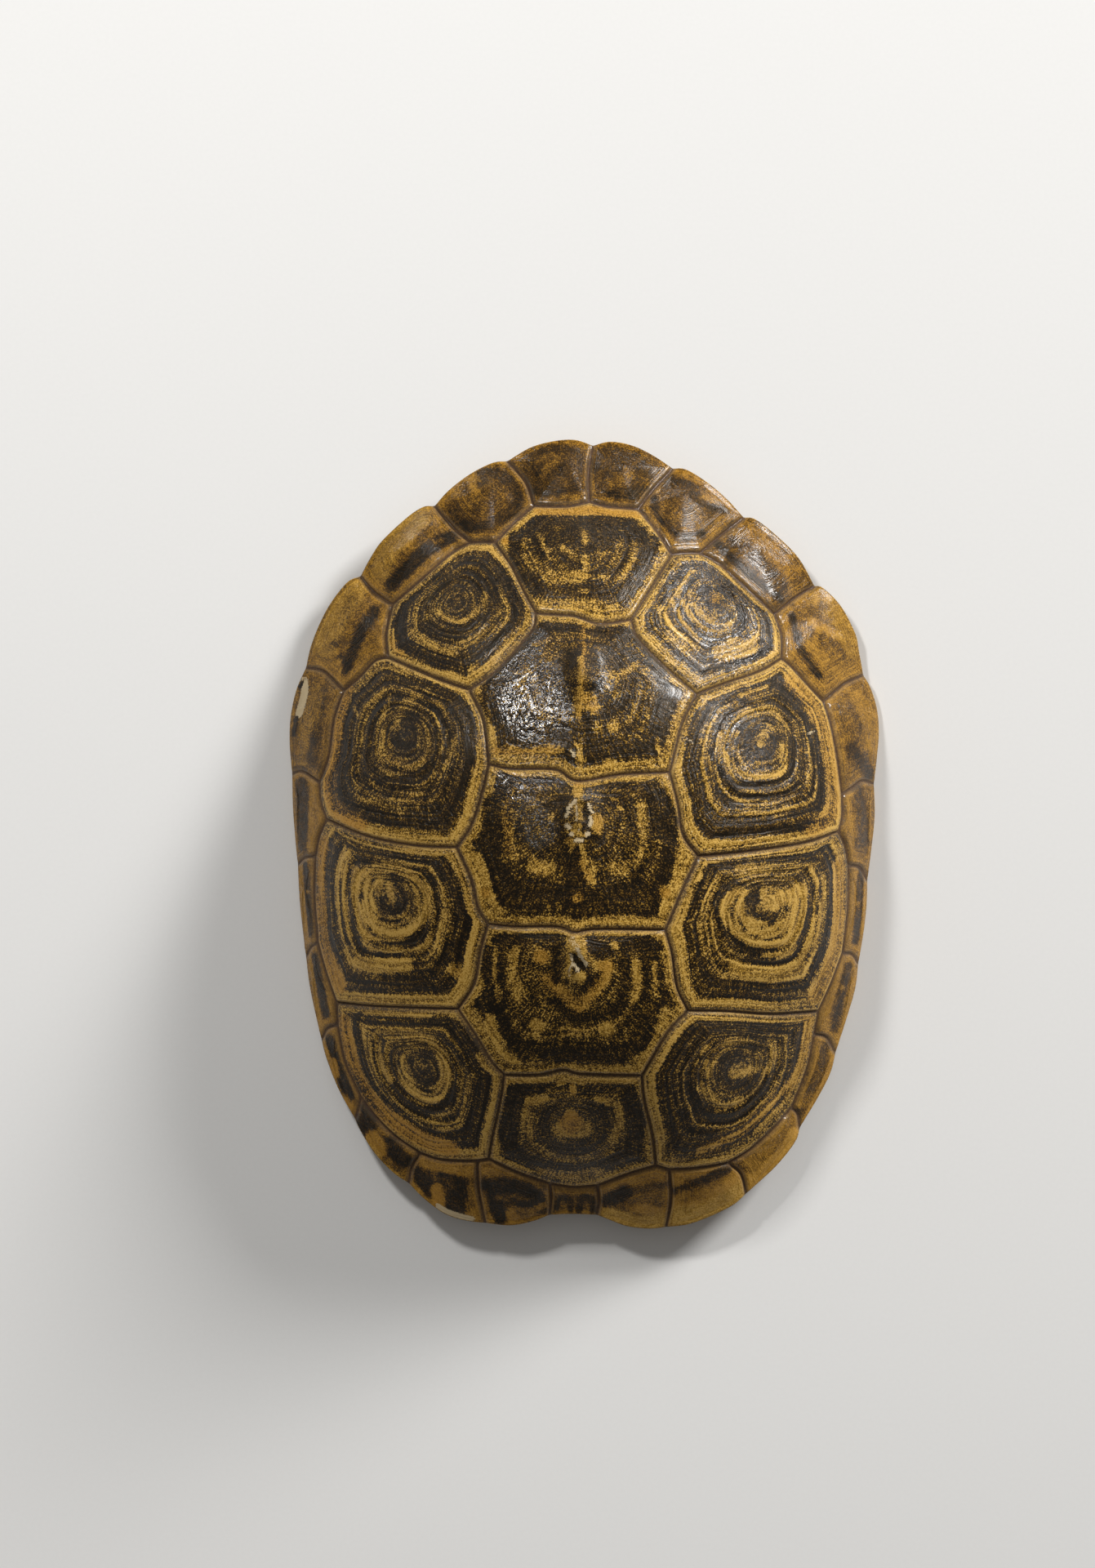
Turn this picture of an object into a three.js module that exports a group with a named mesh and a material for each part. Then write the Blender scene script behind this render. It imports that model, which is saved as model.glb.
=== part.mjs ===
// A turtle's upper shell, the carapace, lying dome up on the lower edges of its two sides.
// Millimetres, +Z up, +Y towards the tail. The horny scutes have grown onto the bone, so it is one solid.
// The top and the underside are nets of rings: each scute's rings shrink from its seams to its areola,
// the oldest part of the scute, and the underside's rings shrink from the rim to the middle.
import * as THREE from 'three';

// Driving dimensions
const SHELL_LENGTH = 225;
const CROWN_HEIGHT = 61; // the dome at its highest, without the knobs
const CROWN_Y = -10; // where the dome is highest
const WALL = 3.4; // bone and horn together
const LIP = 2; // thickness of the rim's edge
const TAIL_LIFT = 7.5; // how far the rim rises from the sides to the tail
const HEAD_LIFT = 7;
const SIDE_FLARE = -0.3; // below 0 the sides turn down to the rim, above 0 they turn out
const END_FLARE = 0.21;
const SEAM_DEPTH = 0.85;
const SEAM_SHOULDER = 1.25; // from the bottom of a seam to the scute's own surface
const VERTEX_SPACING = 6.6;
const VENTRAL_WIDTH = 7; // flat underside of the rim at the sides, which the shell rests on
const VENTRAL_EXTRA = 5.5; // how much wider it is at the tail and the head
const INNER_WALL_RUN = 4.5; // plan width of the step from the flat underside up into the dome
const SPINE_HEIGHT = 4.4;
const SPINE_BASE = 8.5; // half its width where it leaves the dome, and at its top
const SPINE_TOP = 2.2;
const SPINE_HEAD_END = -78;
const SPINE_TAIL_END = 82;
const MOST_STEEP = 2; // the wall counts as no steeper than this when its thickness is laid off
const RIB_HEIGHT = 0.9;
const RIB_PITCH = 19;

// The plan of the seams is drawn on squares, with its origin in the middle of the shell.
const PLAN_LENGTH = 969; // squares from the head's end to the tail's
const SQUARE = SHELL_LENGTH / PLAN_LENGTH;

// Corners of the scutes, E on the +X side and W on the other. r is a notch in the rim and m the inner end
// of a seam between two marginal scutes, both counted from the tail to the head. c is an outer corner
// and v an inner corner of a costal scute, named for the scutes that meet there.
const CORNERS = {
  r0: [11, 476], rE1: [109, 448], rE2: [196, 388], rE3: [283, 304], rE4: [343, 195],
  rE5: [356, 62], rE6: [348, -56], rE7: [337, -158], rE8: [309, -268], rE9: [265, -360],
  rE10: [199, -441], rE11: [101, -482], rE12: [16, -467], rW1: [-94, 457], rW2: [-183, 402],
  rW3: [-274, 316], rW4: [-341, 204], rW5: [-358, 74], rW6: [-351, -37], rW7: [-341, -150],
  rW8: [-322, -252], rW9: [-281, -349], rW10: [-215, -428], rW11: [-121, -477], rW12: [-42, -467],
  m0: [7, 408], mE1: [67, 399], mE2: [143, 345], mE3: [235, 270], mE4: [295, 163], mE5: [318, 49],
  mE6: [326, -39], mE7: [319, -146], mE8: [284, -246], mE9: [256, -336], mE10: [178, -404],
  mE11: [105, -412], mE12: [16, -432], mW1: [-62, 403], mW2: [-140, 358], mW3: [-236, 282],
  mW4: [-296, 176], mW5: [-326, 63], mW6: [-331, -28], mW7: [-328, -134], mW8: [-304, -235],
  mW9: [-275, -323], mW10: [-201, -392], mW11: [-131, -401], mW12: [-41, -430], cE5: [108, 343],
  cE4: [243, 216], cE3: [314, 3], cE2: [289, -218], cE1: [88, -407], cW5: [-109, 358],
  cW4: [-241, 217], cW3: [-317, 18], cW2: [-305, -207], cW1: [-117, -399], vE54: [58, 263],
  vE4: [138, 172], vE43: [105, 76], vE3: [140, -27], vE32: [100, -117], vE2: [128, -216],
  vE21: [71, -296], vW54: [-59, 271], vW4: [-141, 177], vW43: [-117, 86], vW3: [-156, -16],
  vW32: [-118, -110], vW2: [-155, -214], vW21: [-98, -295],
};
const SEAMS = [
  ['r0', 'rE1', [33, 481], [60, 476], [85, 464]], ['rE1', 'rE2', [125, 447], [150, 432], [175, 411]],
  ['rE2', 'rE3', [210, 386], [235, 367], [263, 339]],
  ['rE3', 'rE4', [293, 302], [315, 280], [333, 246], [338, 222]],
  ['rE4', 'rE5', [352, 179], [360, 152], [362, 122], [359, 87]], ['rE5', 'rE6', [357, 22], [353, -18]],
  ['rE6', 'rE7', [347, -88], [343, -123]], ['rE7', 'rE8', [333, -190], [322, -228]],
  ['rE8', 'rE9', [303, -292], [288, -322]], ['rE9', 'rE10', [259, -378], [235, -408]],
  ['rE10', 'rE11', [183, -455], [155, -469], [127, -479]],
  ['rE11', 'rE12', [80, -484], [53, -481], [31, -473]], ['rE12', 'rW12', [-13, -466]],
  ['r0', 'rW1', [-10, 483], [-35, 482], [-65, 474]],
  ['rW1', 'rW2', [-112, 455], [-140, 441], [-166, 421]],
  ['rW2', 'rW3', [-197, 401], [-217, 388], [-247, 360], [-261, 340]],
  ['rW3', 'rW4', [-291, 308], [-315, 276], [-333, 236]],
  ['rW4', 'rW5', [-353, 176], [-360, 142], [-361, 110]], ['rW5', 'rW6', [-357, 32], [-354, -8]],
  ['rW6', 'rW7', [-349, -78], [-345, -118]], ['rW7', 'rW8', [-337, -183], [-330, -218]],
  ['rW8', 'rW9', [-316, -275], [-301, -313]],
  ['rW9', 'rW10', [-274, -364], [-257, -391], [-233, -416]],
  ['rW10', 'rW11', [-195, -448], [-170, -466], [-145, -474]],
  ['rW11', 'rW12', [-90, -480], [-63, -475]], ['r0', 'm0', [6, 442]], ['rE1', 'mE1', [85, 422]],
  ['rE2', 'mE2', [169, 367]], ['rE3', 'mE3', [260, 290]], ['rE4', 'mE4', [320, 184]],
  ['rE5', 'mE5', [342, 65], [331, 57]], ['rE6', 'mE6', [339, -41]], ['rE7', 'mE7', [330, -148]],
  ['rE8', 'mE8', [299, -250]], ['rE9', 'mE9', [263, -344]], ['rE10', 'mE10', [193, -417]],
  ['rE11', 'mE11', [107, -448]], ['rE12', 'mE12', [18, -450]], ['rW1', 'mW1', [-72, 432]],
  ['rW2', 'mW2', [-162, 377]], ['rW3', 'mW3', [-257, 296]], ['rW4', 'mW4', [-323, 201], [-308, 188]],
  ['rW5', 'mW5', [-348, 77], [-337, 71]], ['rW6', 'mW6', [-343, -29]], ['rW7', 'mW7', [-336, -139]],
  ['rW8', 'mW8', [-316, -239]], ['rW9', 'mW9', [-277, -336]], ['rW10', 'mW10', [-211, -408]],
  ['rW11', 'mW11', [-129, -438]], ['rW12', 'mW12', [-40, -448]], ['m0', 'mE1', [30, 402]],
  ['mE1', 'cE5', [88, 374]], ['cE5', 'mE2', [123, 345]], ['mE2', 'mE3', [165, 333], [190, 311]],
  ['mE3', 'cE4', [243, 244]], ['cE4', 'mE4', [255, 206], [275, 184]],
  ['mE4', 'mE5', [304, 135], [312, 94]], ['mE5', 'cE3', [318, 22]], ['cE3', 'mE6', [322, -18]],
  ['mE6', 'mE7', [325, -93]], ['mE7', 'cE2', [305, -183]], ['cE2', 'mE8'], ['mE8', 'mE9', [275, -288]],
  ['mE9', 'mE10', [233, -362], [203, -389]], ['mE10', 'mE11', [155, -408], [130, -411]],
  ['mE11', 'cE1'], ['cE1', 'mE12', [55, -417]], ['m0', 'mW1', [-15, 403], [-35, 402]],
  ['mW1', 'cW5', [-85, 383]], ['cW5', 'mW2', [-123, 359]], ['mW2', 'mW3', [-162, 346], [-200, 313]],
  ['mW3', 'cW4', [-243, 246]], ['cW4', 'mW4', [-257, 213], [-277, 192]],
  ['mW4', 'mW5', [-308, 140], [-314, 97]], ['mW5', 'cW3', [-324, 40]], ['cW3', 'mW6', [-326, -3]],
  ['mW6', 'mW7', [-332, -78]], ['mW7', 'cW2', [-318, -170]], ['cW2', 'mW8'],
  ['mW8', 'mW9', [-294, -281]], ['mW9', 'mW10', [-255, -349], [-230, -373]],
  ['mW10', 'mW11', [-180, -399], [-155, -401]], ['mW11', 'cW1'], ['cW1', 'mW12', [-80, -416]],
  ['mE12', 'mW12', [-13, -434]], ['vE54', 'cE5', [85, 306]], ['vE4', 'cE4', [175, 186], [215, 200]],
  ['vE3', 'cE3', [195, -22], [270, -11]], ['vE2', 'cE2', [175, -217], [230, -221]],
  ['vE21', 'cE1', [74, -326], [84, -370]], ['vW54', 'cW5', [-74, 298], [-90, 330]],
  ['vW4', 'cW4', [-185, 193]], ['vW3', 'cW3', [-205, -14], [-265, -3]],
  ['vW2', 'cW2', [-205, -213], [-260, -211]], ['vW21', 'cW1', [-102, -325], [-112, -370]],
  ['vE54', 'vE4', [67, 240], [100, 205]], ['vE4', 'vE43', [121, 138], [113, 107]],
  ['vE43', 'vE3', [115, 37], [121, 0]], ['vE3', 'vE32', [123, -63]],
  ['vE32', 'vE2', [108, -146], [114, -186]], ['vE2', 'vE21', [101, -245]],
  ['vW54', 'vW4', [-65, 249], [-107, 202]], ['vW4', 'vW43', [-125, 144], [-120, 117]],
  ['vW43', 'vW3', [-124, 55], [-138, 12]], ['vW3', 'vW32', [-138, -56], [-130, -90]],
  ['vW32', 'vW2', [-128, -146], [-135, -183]], ['vW2', 'vW21', [-131, -250], [-112, -281]],
  ['vW54', 'vE54', [-33, 269], [-10, 267], [20, 258]],
  ['vW43', 'vE43', [-90, 80], [-35, 79], [-8, 65], [45, 73]],
  ['vW32', 'vE32', [-85, -113], [-33, -113], [-11, -120], [15, -116]],
  ['vW21', 'vE21', [-55, -295], [-25, -289], [-3, -294]],
];
const AREOLAE = {
  vertebral_1: [-13, -352], vertebral_2: [-11, -148], vertebral_3: [-7, 22],
  vertebral_4: [-3, 202], vertebral_5: [-1, 364], costal_E1: [188, -283], costal_E2: [218, -84],
  costal_E3: [217, 114], costal_E4: [165, 284], costal_W1: [-197, -284], costal_W2: [-237, -74],
  costal_W3: [-219, 122], costal_W4: [-157, 284],
};

// How high each scute stands above the plain dome, from its seams inwards: share of the way from the
// areola to the seam, and height in millimetres. The steps are its growth rings.
const COSTAL_RINGS = [
  [0.87, 0.45], [0.79, 0.1], [0.7, 0.5], [0.62, 0.15], [0.5, 0.5], [0.42, 0.2], [0.22, 0.35],
];
const VERTEBRAL_RINGS = [
  [0.84, 0.4], [0.74, 0.1], [0.62, 0.4], [0.46, 0.1], [0.3, 0.2], [0.16, 0.1], [0.07, 0],
];
const MARGINAL_RINGS = [[0.55, 0.4]];

// The knobs on the keel: place in squares, height, half width across and to the tail and the head, and
// the depth of the worn pit in its top.
const KNOBS = [
  { x: -9, y: -146, height: 3.2, across: 3.6, tailward: 5, headward: 8, pit: 1.2 },
  { x: -6, y: 26, height: 3.4, across: 3.8, tailward: 6.5, headward: 9, pit: 1.3 },
  { x: -3, y: 206, height: 4.4, across: 3.2, tailward: 4.5, headward: 13, pit: 0 },
];
const KEEL_HEIGHT = 0.9;
const KEEL_HALF_WIDTH = 7;

const plan = ([x, y]) => new THREE.Vector2(x * SQUARE, y * SQUARE);
const smoothstep = (from, to, value) => THREE.MathUtils.smoothstep(value, from, to);

// Points along a seam between two corners, at even spacing. Their number depends on the spacing.
function seamPoints([from, to, ...between], spacing) {
  const knots = [CORNERS[from], ...between, CORNERS[to]].map(plan);
  const curve = new THREE.SplineCurve(knots);
  return curve.getSpacedPoints(Math.max(2, Math.round(curve.getLength() / spacing)));
}

// The radius of the outline in every direction from the crown, as it is and smoothed.
const RADIUS_STEPS = 720;
const radii = outlineRadii();

function outlineRadii() {
  const polar = SEAMS.filter(([from, to]) => from[0] === 'r' && to[0] === 'r')
    .flatMap((seam) => seamPoints(seam, 0.5))
    .map((p) => ({ angle: turn(Math.atan2(p.y - CROWN_Y, p.x)), radius: Math.hypot(p.x, p.y - CROWN_Y) }))
    .sort((a, b) => a.angle - b.angle);
  const exact = [];
  let next = 0;
  for (let step = 0; step < RADIUS_STEPS; step += 1) {
    const angle = (step / RADIUS_STEPS) * 2 * Math.PI;
    while (next < polar.length - 1 && polar[next].angle < angle) next += 1;
    exact.push(polar[next].radius);
  }
  const reach = 36;
  const smooth = exact.map((_, step) => {
    let sum = 0;
    let weights = 0;
    for (let away = -reach; away <= reach; away += 1) {
      const weight = Math.exp(-((away / reach) ** 2) * 3);
      sum += weight * exact[(step + away + RADIUS_STEPS) % RADIUS_STEPS];
      weights += weight;
    }
    return sum / weights;
  });
  return { exact, smooth };
}

function turn(angle) {
  return (angle + 2 * Math.PI) % (2 * Math.PI);
}

function radiusIn(table, angle) {
  const place = (turn(angle) / (2 * Math.PI)) * RADIUS_STEPS;
  const low = Math.floor(place) % RADIUS_STEPS;
  return THREE.MathUtils.lerp(table[low], table[(low + 1) % RADIUS_STEPS], place - Math.floor(place));
}

// Height of the rim's upper edge where the outline is at this y.
function rimHeight(y) {
  return LIP + TAIL_LIFT * smoothstep(28, 108, y) + HEAD_LIFT * smoothstep(50, 108, -y);
}

// The plain dome: 1 at the crown and 0 at the rim, steep at the sides and flared at the tail and head.
function domeHeight(x, y) {
  const angle = Math.atan2(y - CROWN_Y, x);
  const away = Math.hypot(x, y - CROWN_Y);
  const edge = radiusIn(radii.exact, angle);
  const blend = smoothstep(0.75, 0.97, away / edge);
  const share = away / THREE.MathUtils.lerp(radiusIn(radii.smooth, angle), edge, blend);
  const tailward = Math.sin(angle);
  const toTail = smoothstep(0.1, 0.85, tailward);
  const toHead = smoothstep(0.2, 0.9, -tailward);
  const flare = THREE.MathUtils.lerp(SIDE_FLARE, END_FLARE, toTail + toHead);
  const fullness = THREE.MathUtils.lerp(2, 2.4, toTail + toHead);
  const rim = rimHeight(CROWN_Y + edge * tailward);
  const fall = (1 + flare) * share ** fullness - flare * share ** 8;
  const keel = KEEL_HEIGHT * Math.exp(-((x / KEEL_HALF_WIDTH) ** 2)) * (1 - smoothstep(0.75, 0.95, share));
  return rim + (CROWN_HEIGHT - rim) * (1 - fall) + keel;
}

// The knobs' own height over the keel.
function knobHeight(x, y) {
  let height = 0;
  for (const knob of KNOBS) {
    const dx = (x - knob.x * SQUARE) / knob.across;
    const dy = y - knob.y * SQUARE;
    const along = dy / (dy > 0 ? knob.tailward : knob.headward);
    height += knob.height * Math.exp(-(dx ** 2) - along ** 2);
    height -= knob.pit * Math.exp(-((dx * 2.2) ** 2) - (along * 2.2) ** 2);
  }
  return height;
}

// A point of the dome above a place of the plan, moved out along the dome's normal.
function onDome(place, raised) {
  const step = 0.5;
  const slopeX = (domeHeight(place.x + step, place.y) - domeHeight(place.x - step, place.y)) / (2 * step);
  const slopeY = (domeHeight(place.x, place.y + step) - domeHeight(place.x, place.y - step)) / (2 * step);
  const normal = new THREE.Vector3(-slopeX, -slopeY, 1).normalize();
  const top = domeHeight(place.x, place.y) + knobHeight(place.x, place.y);
  return new THREE.Vector3(place.x, place.y, top).addScaledVector(normal, raised);
}

// The solid's mesh as it grows: points, and triangles by their numbers.
const points = [];
const triangles = [];

function addPoint(point) {
  return points.push(point) - 1;
}

// Triangles between a ring and the ring inside it, whose points stand on some of the outer ring's spokes.
function bridge(outer, inner) {
  inner.forEach((here, i) => {
    const next = inner[(i + 1) % inner.length];
    const first = outer.findIndex((spoke) => spoke.on === here.on);
    const last = outer.findIndex((spoke) => spoke.on === next.on);
    const count = (last - first + outer.length) % outer.length;
    const turnAt = Math.floor(count / 2);
    for (let k = 0; k < count; k += 1) {
      const from = outer[(first + k) % outer.length].point;
      const to = outer[(first + k + 1) % outer.length].point;
      triangles.push([from, to, k < turnAt ? here.point : next.point]);
    }
    triangles.push([outer[(first + turnAt) % outer.length].point, next.point, here.point]);
  });
}

// Every second spoke of a ring whose points have come too close together.
function thinned(ring, spacing) {
  let length = 0;
  ring.forEach((spoke, i) => {
    length += points[spoke.point].distanceTo(points[ring[(i + 1) % ring.length].point]);
  });
  return length / ring.length < spacing && ring.length > 8 ? ring.filter((_, i) => i % 2 === 0) : ring;
}

function closeWithPoint(ring, point) {
  const middle = addPoint(point);
  ring.forEach((spoke, i) => triangles.push([spoke.point, ring[(i + 1) % ring.length].point, middle]));
}

// Every seam's points are made once and shared by the scutes on both sides of it. The rim's seams lie on
// the surface, and the others sink to the bottom of their groove as they leave the rim.
const cornerPoint = new Map();
const seamLine = new Map();
for (const seam of SEAMS) {
  const [from, to] = seam;
  const places = seamPoints(seam, VERTEX_SPACING);
  const alongRim = from[0] === 'r' && to[0] === 'r';
  const line = places.map((place, i) => {
    const corner = { 0: from, [places.length - 1]: to }[i];
    if (corner && cornerPoint.has(corner)) return cornerPoint.get(corner);
    const onRim = alongRim || corner?.[0] === 'r';
    const point = addPoint(onDome(place, onRim ? 0 : -SEAM_DEPTH));
    if (corner) cornerPoint.set(corner, point);
    return point;
  });
  seamLine.set(`${from} ${to}`, line);
  seamLine.set(`${to} ${from}`, [...line].reverse());
}

// The closed ring of points around a list of corners, counterclockwise from above.
function loopAround(corners) {
  const loop = corners.flatMap((corner, i) => {
    const line = seamLine.get(`${corner} ${corners[(i + 1) % corners.length]}`);
    return line.slice(0, -1);
  });
  let area = 0;
  loop.forEach((point, i) => {
    const a = points[point];
    const b = points[loop[(i + 1) % loop.length]];
    area += a.x * b.y - b.x * a.y;
  });
  return area < 0 ? loop.reverse() : loop;
}

// One scute: a groove's shoulder just inside its seams, then its growth rings, down to the areola.
function addScute(corners, rings, areola) {
  const loop = loopAround(corners);
  const rim = new Set(corners.flatMap((corner, i) => {
    const next = corners[(i + 1) % corners.length];
    return corner[0] === 'r' && next[0] === 'r' ? seamLine.get(`${corner} ${next}`) : [];
  }));
  const edge = loop.map((point) => new THREE.Vector2(points[point].x, points[point].y));
  const middle = areola ?? edge.reduce((sum, p) => sum.add(p), new THREE.Vector2()).divideScalar(edge.length);
  let ring = loop.map((point, on) => ({ on, point }));
  const step = (shareAt, raised) => {
    const inner = thinned(ring, VERTEX_SPACING * 0.6).map(({ on }) => {
      const place = middle.clone().lerp(edge[on], shareAt(on));
      return { on, point: addPoint(onDome(place, raised)) };
    });
    bridge(ring, inner);
    ring = inner;
  };
  step((on) => 1 - SEAM_SHOULDER * (rim.has(loop[on]) ? 0.7 : 1) / edge[on].distanceTo(middle), 0);
  rings.forEach(([share, raised]) => step(() => share, raised));
  closeWithPoint(ring, onDome(middle, 0.1));
}

const numbered = (letter, side, count) => (count === 0 ? `${letter}0` : `${letter}${side}${count}`);
// Which costal corner lies between two neighbouring m corners, by the second one's number.
const COSTAL_CORNER = { 2: 5, 4: 4, 6: 3, 8: 2, 12: 1 };
for (const side of ['E', 'W']) {
  for (let count = 1; count <= 12; count += 1) {
    const between = COSTAL_CORNER[count] ? [`c${side}${COSTAL_CORNER[count]}`] : [];
    const outer = [numbered('r', side, count - 1), numbered('r', side, count)];
    const inner = [numbered('m', side, count), ...between, numbered('m', side, count - 1)];
    addScute([...outer, ...inner], MARGINAL_RINGS);
  }
  const costals = {
    1: ['v2', 'c2', 'm8', 'm9', 'm10', 'm11', 'c1', 'v21'],
    2: ['v3', 'c3', 'm6', 'm7', 'c2', 'v2', 'v32'],
    3: ['v4', 'c4', 'm4', 'm5', 'c3', 'v3', 'v43'],
    4: ['v54', 'c5', 'm2', 'm3', 'c4', 'v4'],
  };
  for (const [number, corners] of Object.entries(costals)) {
    const named = corners.map((corner) => corner[0] + side + corner.slice(1));
    addScute(named, COSTAL_RINGS, plan(AREOLAE[`costal_${side}${number}`]));
  }
}
addScute(['rE12', 'rW12', 'mW12', 'mE12'], MARGINAL_RINGS);
const VERTEBRALS = [
  ['vE21', 'cE1', 'mE12', 'mW12', 'cW1', 'vW21'],
  ['vE32', 'vE2', 'vE21', 'vW21', 'vW2', 'vW32'],
  ['vE43', 'vE3', 'vE32', 'vW32', 'vW3', 'vW43'],
  ['vE54', 'vE4', 'vE43', 'vW43', 'vW4', 'vW54'],
  ['m0', 'mE1', 'cE5', 'vE54', 'vW54', 'cW5', 'mW1'],
];
VERTEBRALS.forEach((corners, i) => addScute(corners, VERTEBRAL_RINGS, plan(AREOLAE[`vertebral_${i + 1}`])));

// The underside. Its rings run from the rim's lower lip over the flat face of the marginal bones, up the
// inner wall and over the inside of the dome, and close along the backbone, which stands out with the ribs.
function nearestOnSpine(place) {
  return new THREE.Vector2(0, THREE.MathUtils.clamp(place.y, SPINE_HEAD_END, SPINE_TAIL_END));
}

function insideHeight(place) {
  const step = 0.5;
  const here = domeHeight(place.x, place.y);
  const slopeX = (domeHeight(place.x + step, place.y) - here) / step;
  const slopeY = (domeHeight(place.x, place.y + step) - here) / step;
  const steep = Math.min(MOST_STEEP, Math.hypot(1, slopeX, slopeY));
  const wave = Math.cos((place.y / RIB_PITCH) * 2 * Math.PI);
  const away = place.distanceTo(nearestOnSpine(place));
  const spine = SPINE_HEIGHT * (0.85 + 0.15 * wave) * (1 - smoothstep(SPINE_TOP, SPINE_BASE, away));
  const sideways = Math.abs(place.x);
  const ribbed = smoothstep(SPINE_BASE, 2 * SPINE_BASE, sideways) * (1 - smoothstep(48, 64, sideways));
  return here - WALL * steep - spine - RIB_HEIGHT * wave * ribbed;
}

// Triangles across a long narrow ring, between its side with x above 0 and its side with x below 0.
function closeAlongSpine(ring) {
  const count = ring.length;
  const y = (i) => points[ring[(i + count) % count].point].y;
  let back = ring.map((_, i) => i).reduce((best, i) => (y(i) > y(best) ? i : best), 0);
  let ahead = back + 1;
  for (let made = 0; made < count - 2; made += 1) {
    const forward = y(ahead + 1) > y(back - 1);
    const third = forward ? ahead + 1 : back - 1;
    triangles.push([ahead, third, back].map((i) => ring[(i + count) % count].point));
    if (forward) ahead += 1;
    else back -= 1;
  }
}

function addUnderside() {
  const corners = [
    'r0',
    ...Array.from({ length: 12 }, (_, i) => `rW${i + 1}`),
    ...Array.from({ length: 12 }, (_, i) => `rE${12 - i}`),
  ];
  const loop = loopAround(corners);
  const edge = loop.map((point) => new THREE.Vector2(points[point].x, points[point].y));
  // Clockwise from above, so that the faces point down.
  let ring = loop.map((point, on) => ({ on, point })).reverse();
  const step = (placeAt, spacing = 0) => {
    const inner = thinned(ring, spacing).map(({ on }) => ({ on, point: addPoint(placeAt(on)) }));
    bridge(ring, inner);
    ring = inner;
  };
  // A place on the spoke from the rim to the crown, measured inwards from the smoothed outline.
  const crown = new THREE.Vector2(0, CROWN_Y);
  const inset = (on, distance, table = radii.smooth) => {
    const spoke = edge[on].clone().sub(crown);
    return crown.clone().add(spoke.setLength(radiusIn(table, spoke.angle()) - distance));
  };
  const flat = (on) => rimHeight(edge[on].y) - LIP;
  const ventral = (on) => VENTRAL_WIDTH + VENTRAL_EXTRA * (flat(on) / TAIL_LIFT);
  const lipPoint = (place, height) => new THREE.Vector3(place.x, place.y, height);
  step((on) => lipPoint(inset(on, 0.35, radii.exact), flat(on) + LIP * 0.35));
  step((on) => lipPoint(inset(on, 1.6, radii.exact), flat(on)));
  step((on) => lipPoint(inset(on, ventral(on)), flat(on)));
  const insidePoint = (place) => new THREE.Vector3(place.x, place.y, insideHeight(place));
  const innerEdge = edge.map((_, on) => inset(on, ventral(on) + INNER_WALL_RUN));
  step((on) => insidePoint(innerEdge[on]));
  const fromSpine = (on, distance) => {
    const spot = innerEdge[on].clone().setY(innerEdge[on].y * 0.86);
    const foot = nearestOnSpine(spot);
    const spoke = innerEdge[on].clone().sub(foot);
    return insidePoint(foot.add(spoke.setLength(distance(spoke.length()))));
  };
  for (const share of [0.82, 0.62, 0.42, 0.2]) {
    step((on) => fromSpine(on, (length) => SPINE_BASE + (length - SPINE_BASE) * share));
  }
  for (const distance of [SPINE_BASE, (SPINE_BASE + SPINE_TOP) / 2, SPINE_TOP]) {
    step((on) => fromSpine(on, () => distance), VERTEX_SPACING * 0.5);
  }
  closeAlongSpine(ring);
}
addUnderside();

// The finished solid, moved so that it rests on z = 0 with the middle of its box over the origin.
const geometry = new THREE.BufferGeometry();
geometry.setAttribute('position', new THREE.Float32BufferAttribute(points.flatMap((p) => p.toArray()), 3));
geometry.setIndex(triangles.flat());
geometry.computeBoundingBox();
const box = geometry.boundingBox;
geometry.translate(-(box.min.x + box.max.x) / 2, -(box.min.y + box.max.y) / 2, -box.min.z);
geometry.computeVertexNormals();

const horn = new THREE.MeshStandardMaterial({ color: 0x6b4a25, roughness: 0.35, metalness: 0 });
const carapace = new THREE.Mesh(geometry, horn);
carapace.name = 'carapace';

const turtleShell = new THREE.Group();
turtleShell.add(carapace);
export default turtleShell;
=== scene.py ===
"""A turtle's upper shell, the carapace, lying dome up: its horn scutes, its bone underside and a plain studio.

The shell is one mesh. Every scute is a net of rings that shrink from its seams to its areola, the oldest
part of the scute, and the underside is a net of rings from the rim to the backbone. Markings are painted
as smooth tones on the points of the mesh, a few of them painted highlights and shade, and the horn's
material breaks them up into fibres and rings.
Sizes are in millimetres until a mesh is made.
"""

import logging
import math
from dataclasses import dataclass, field
from enum import Enum

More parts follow.
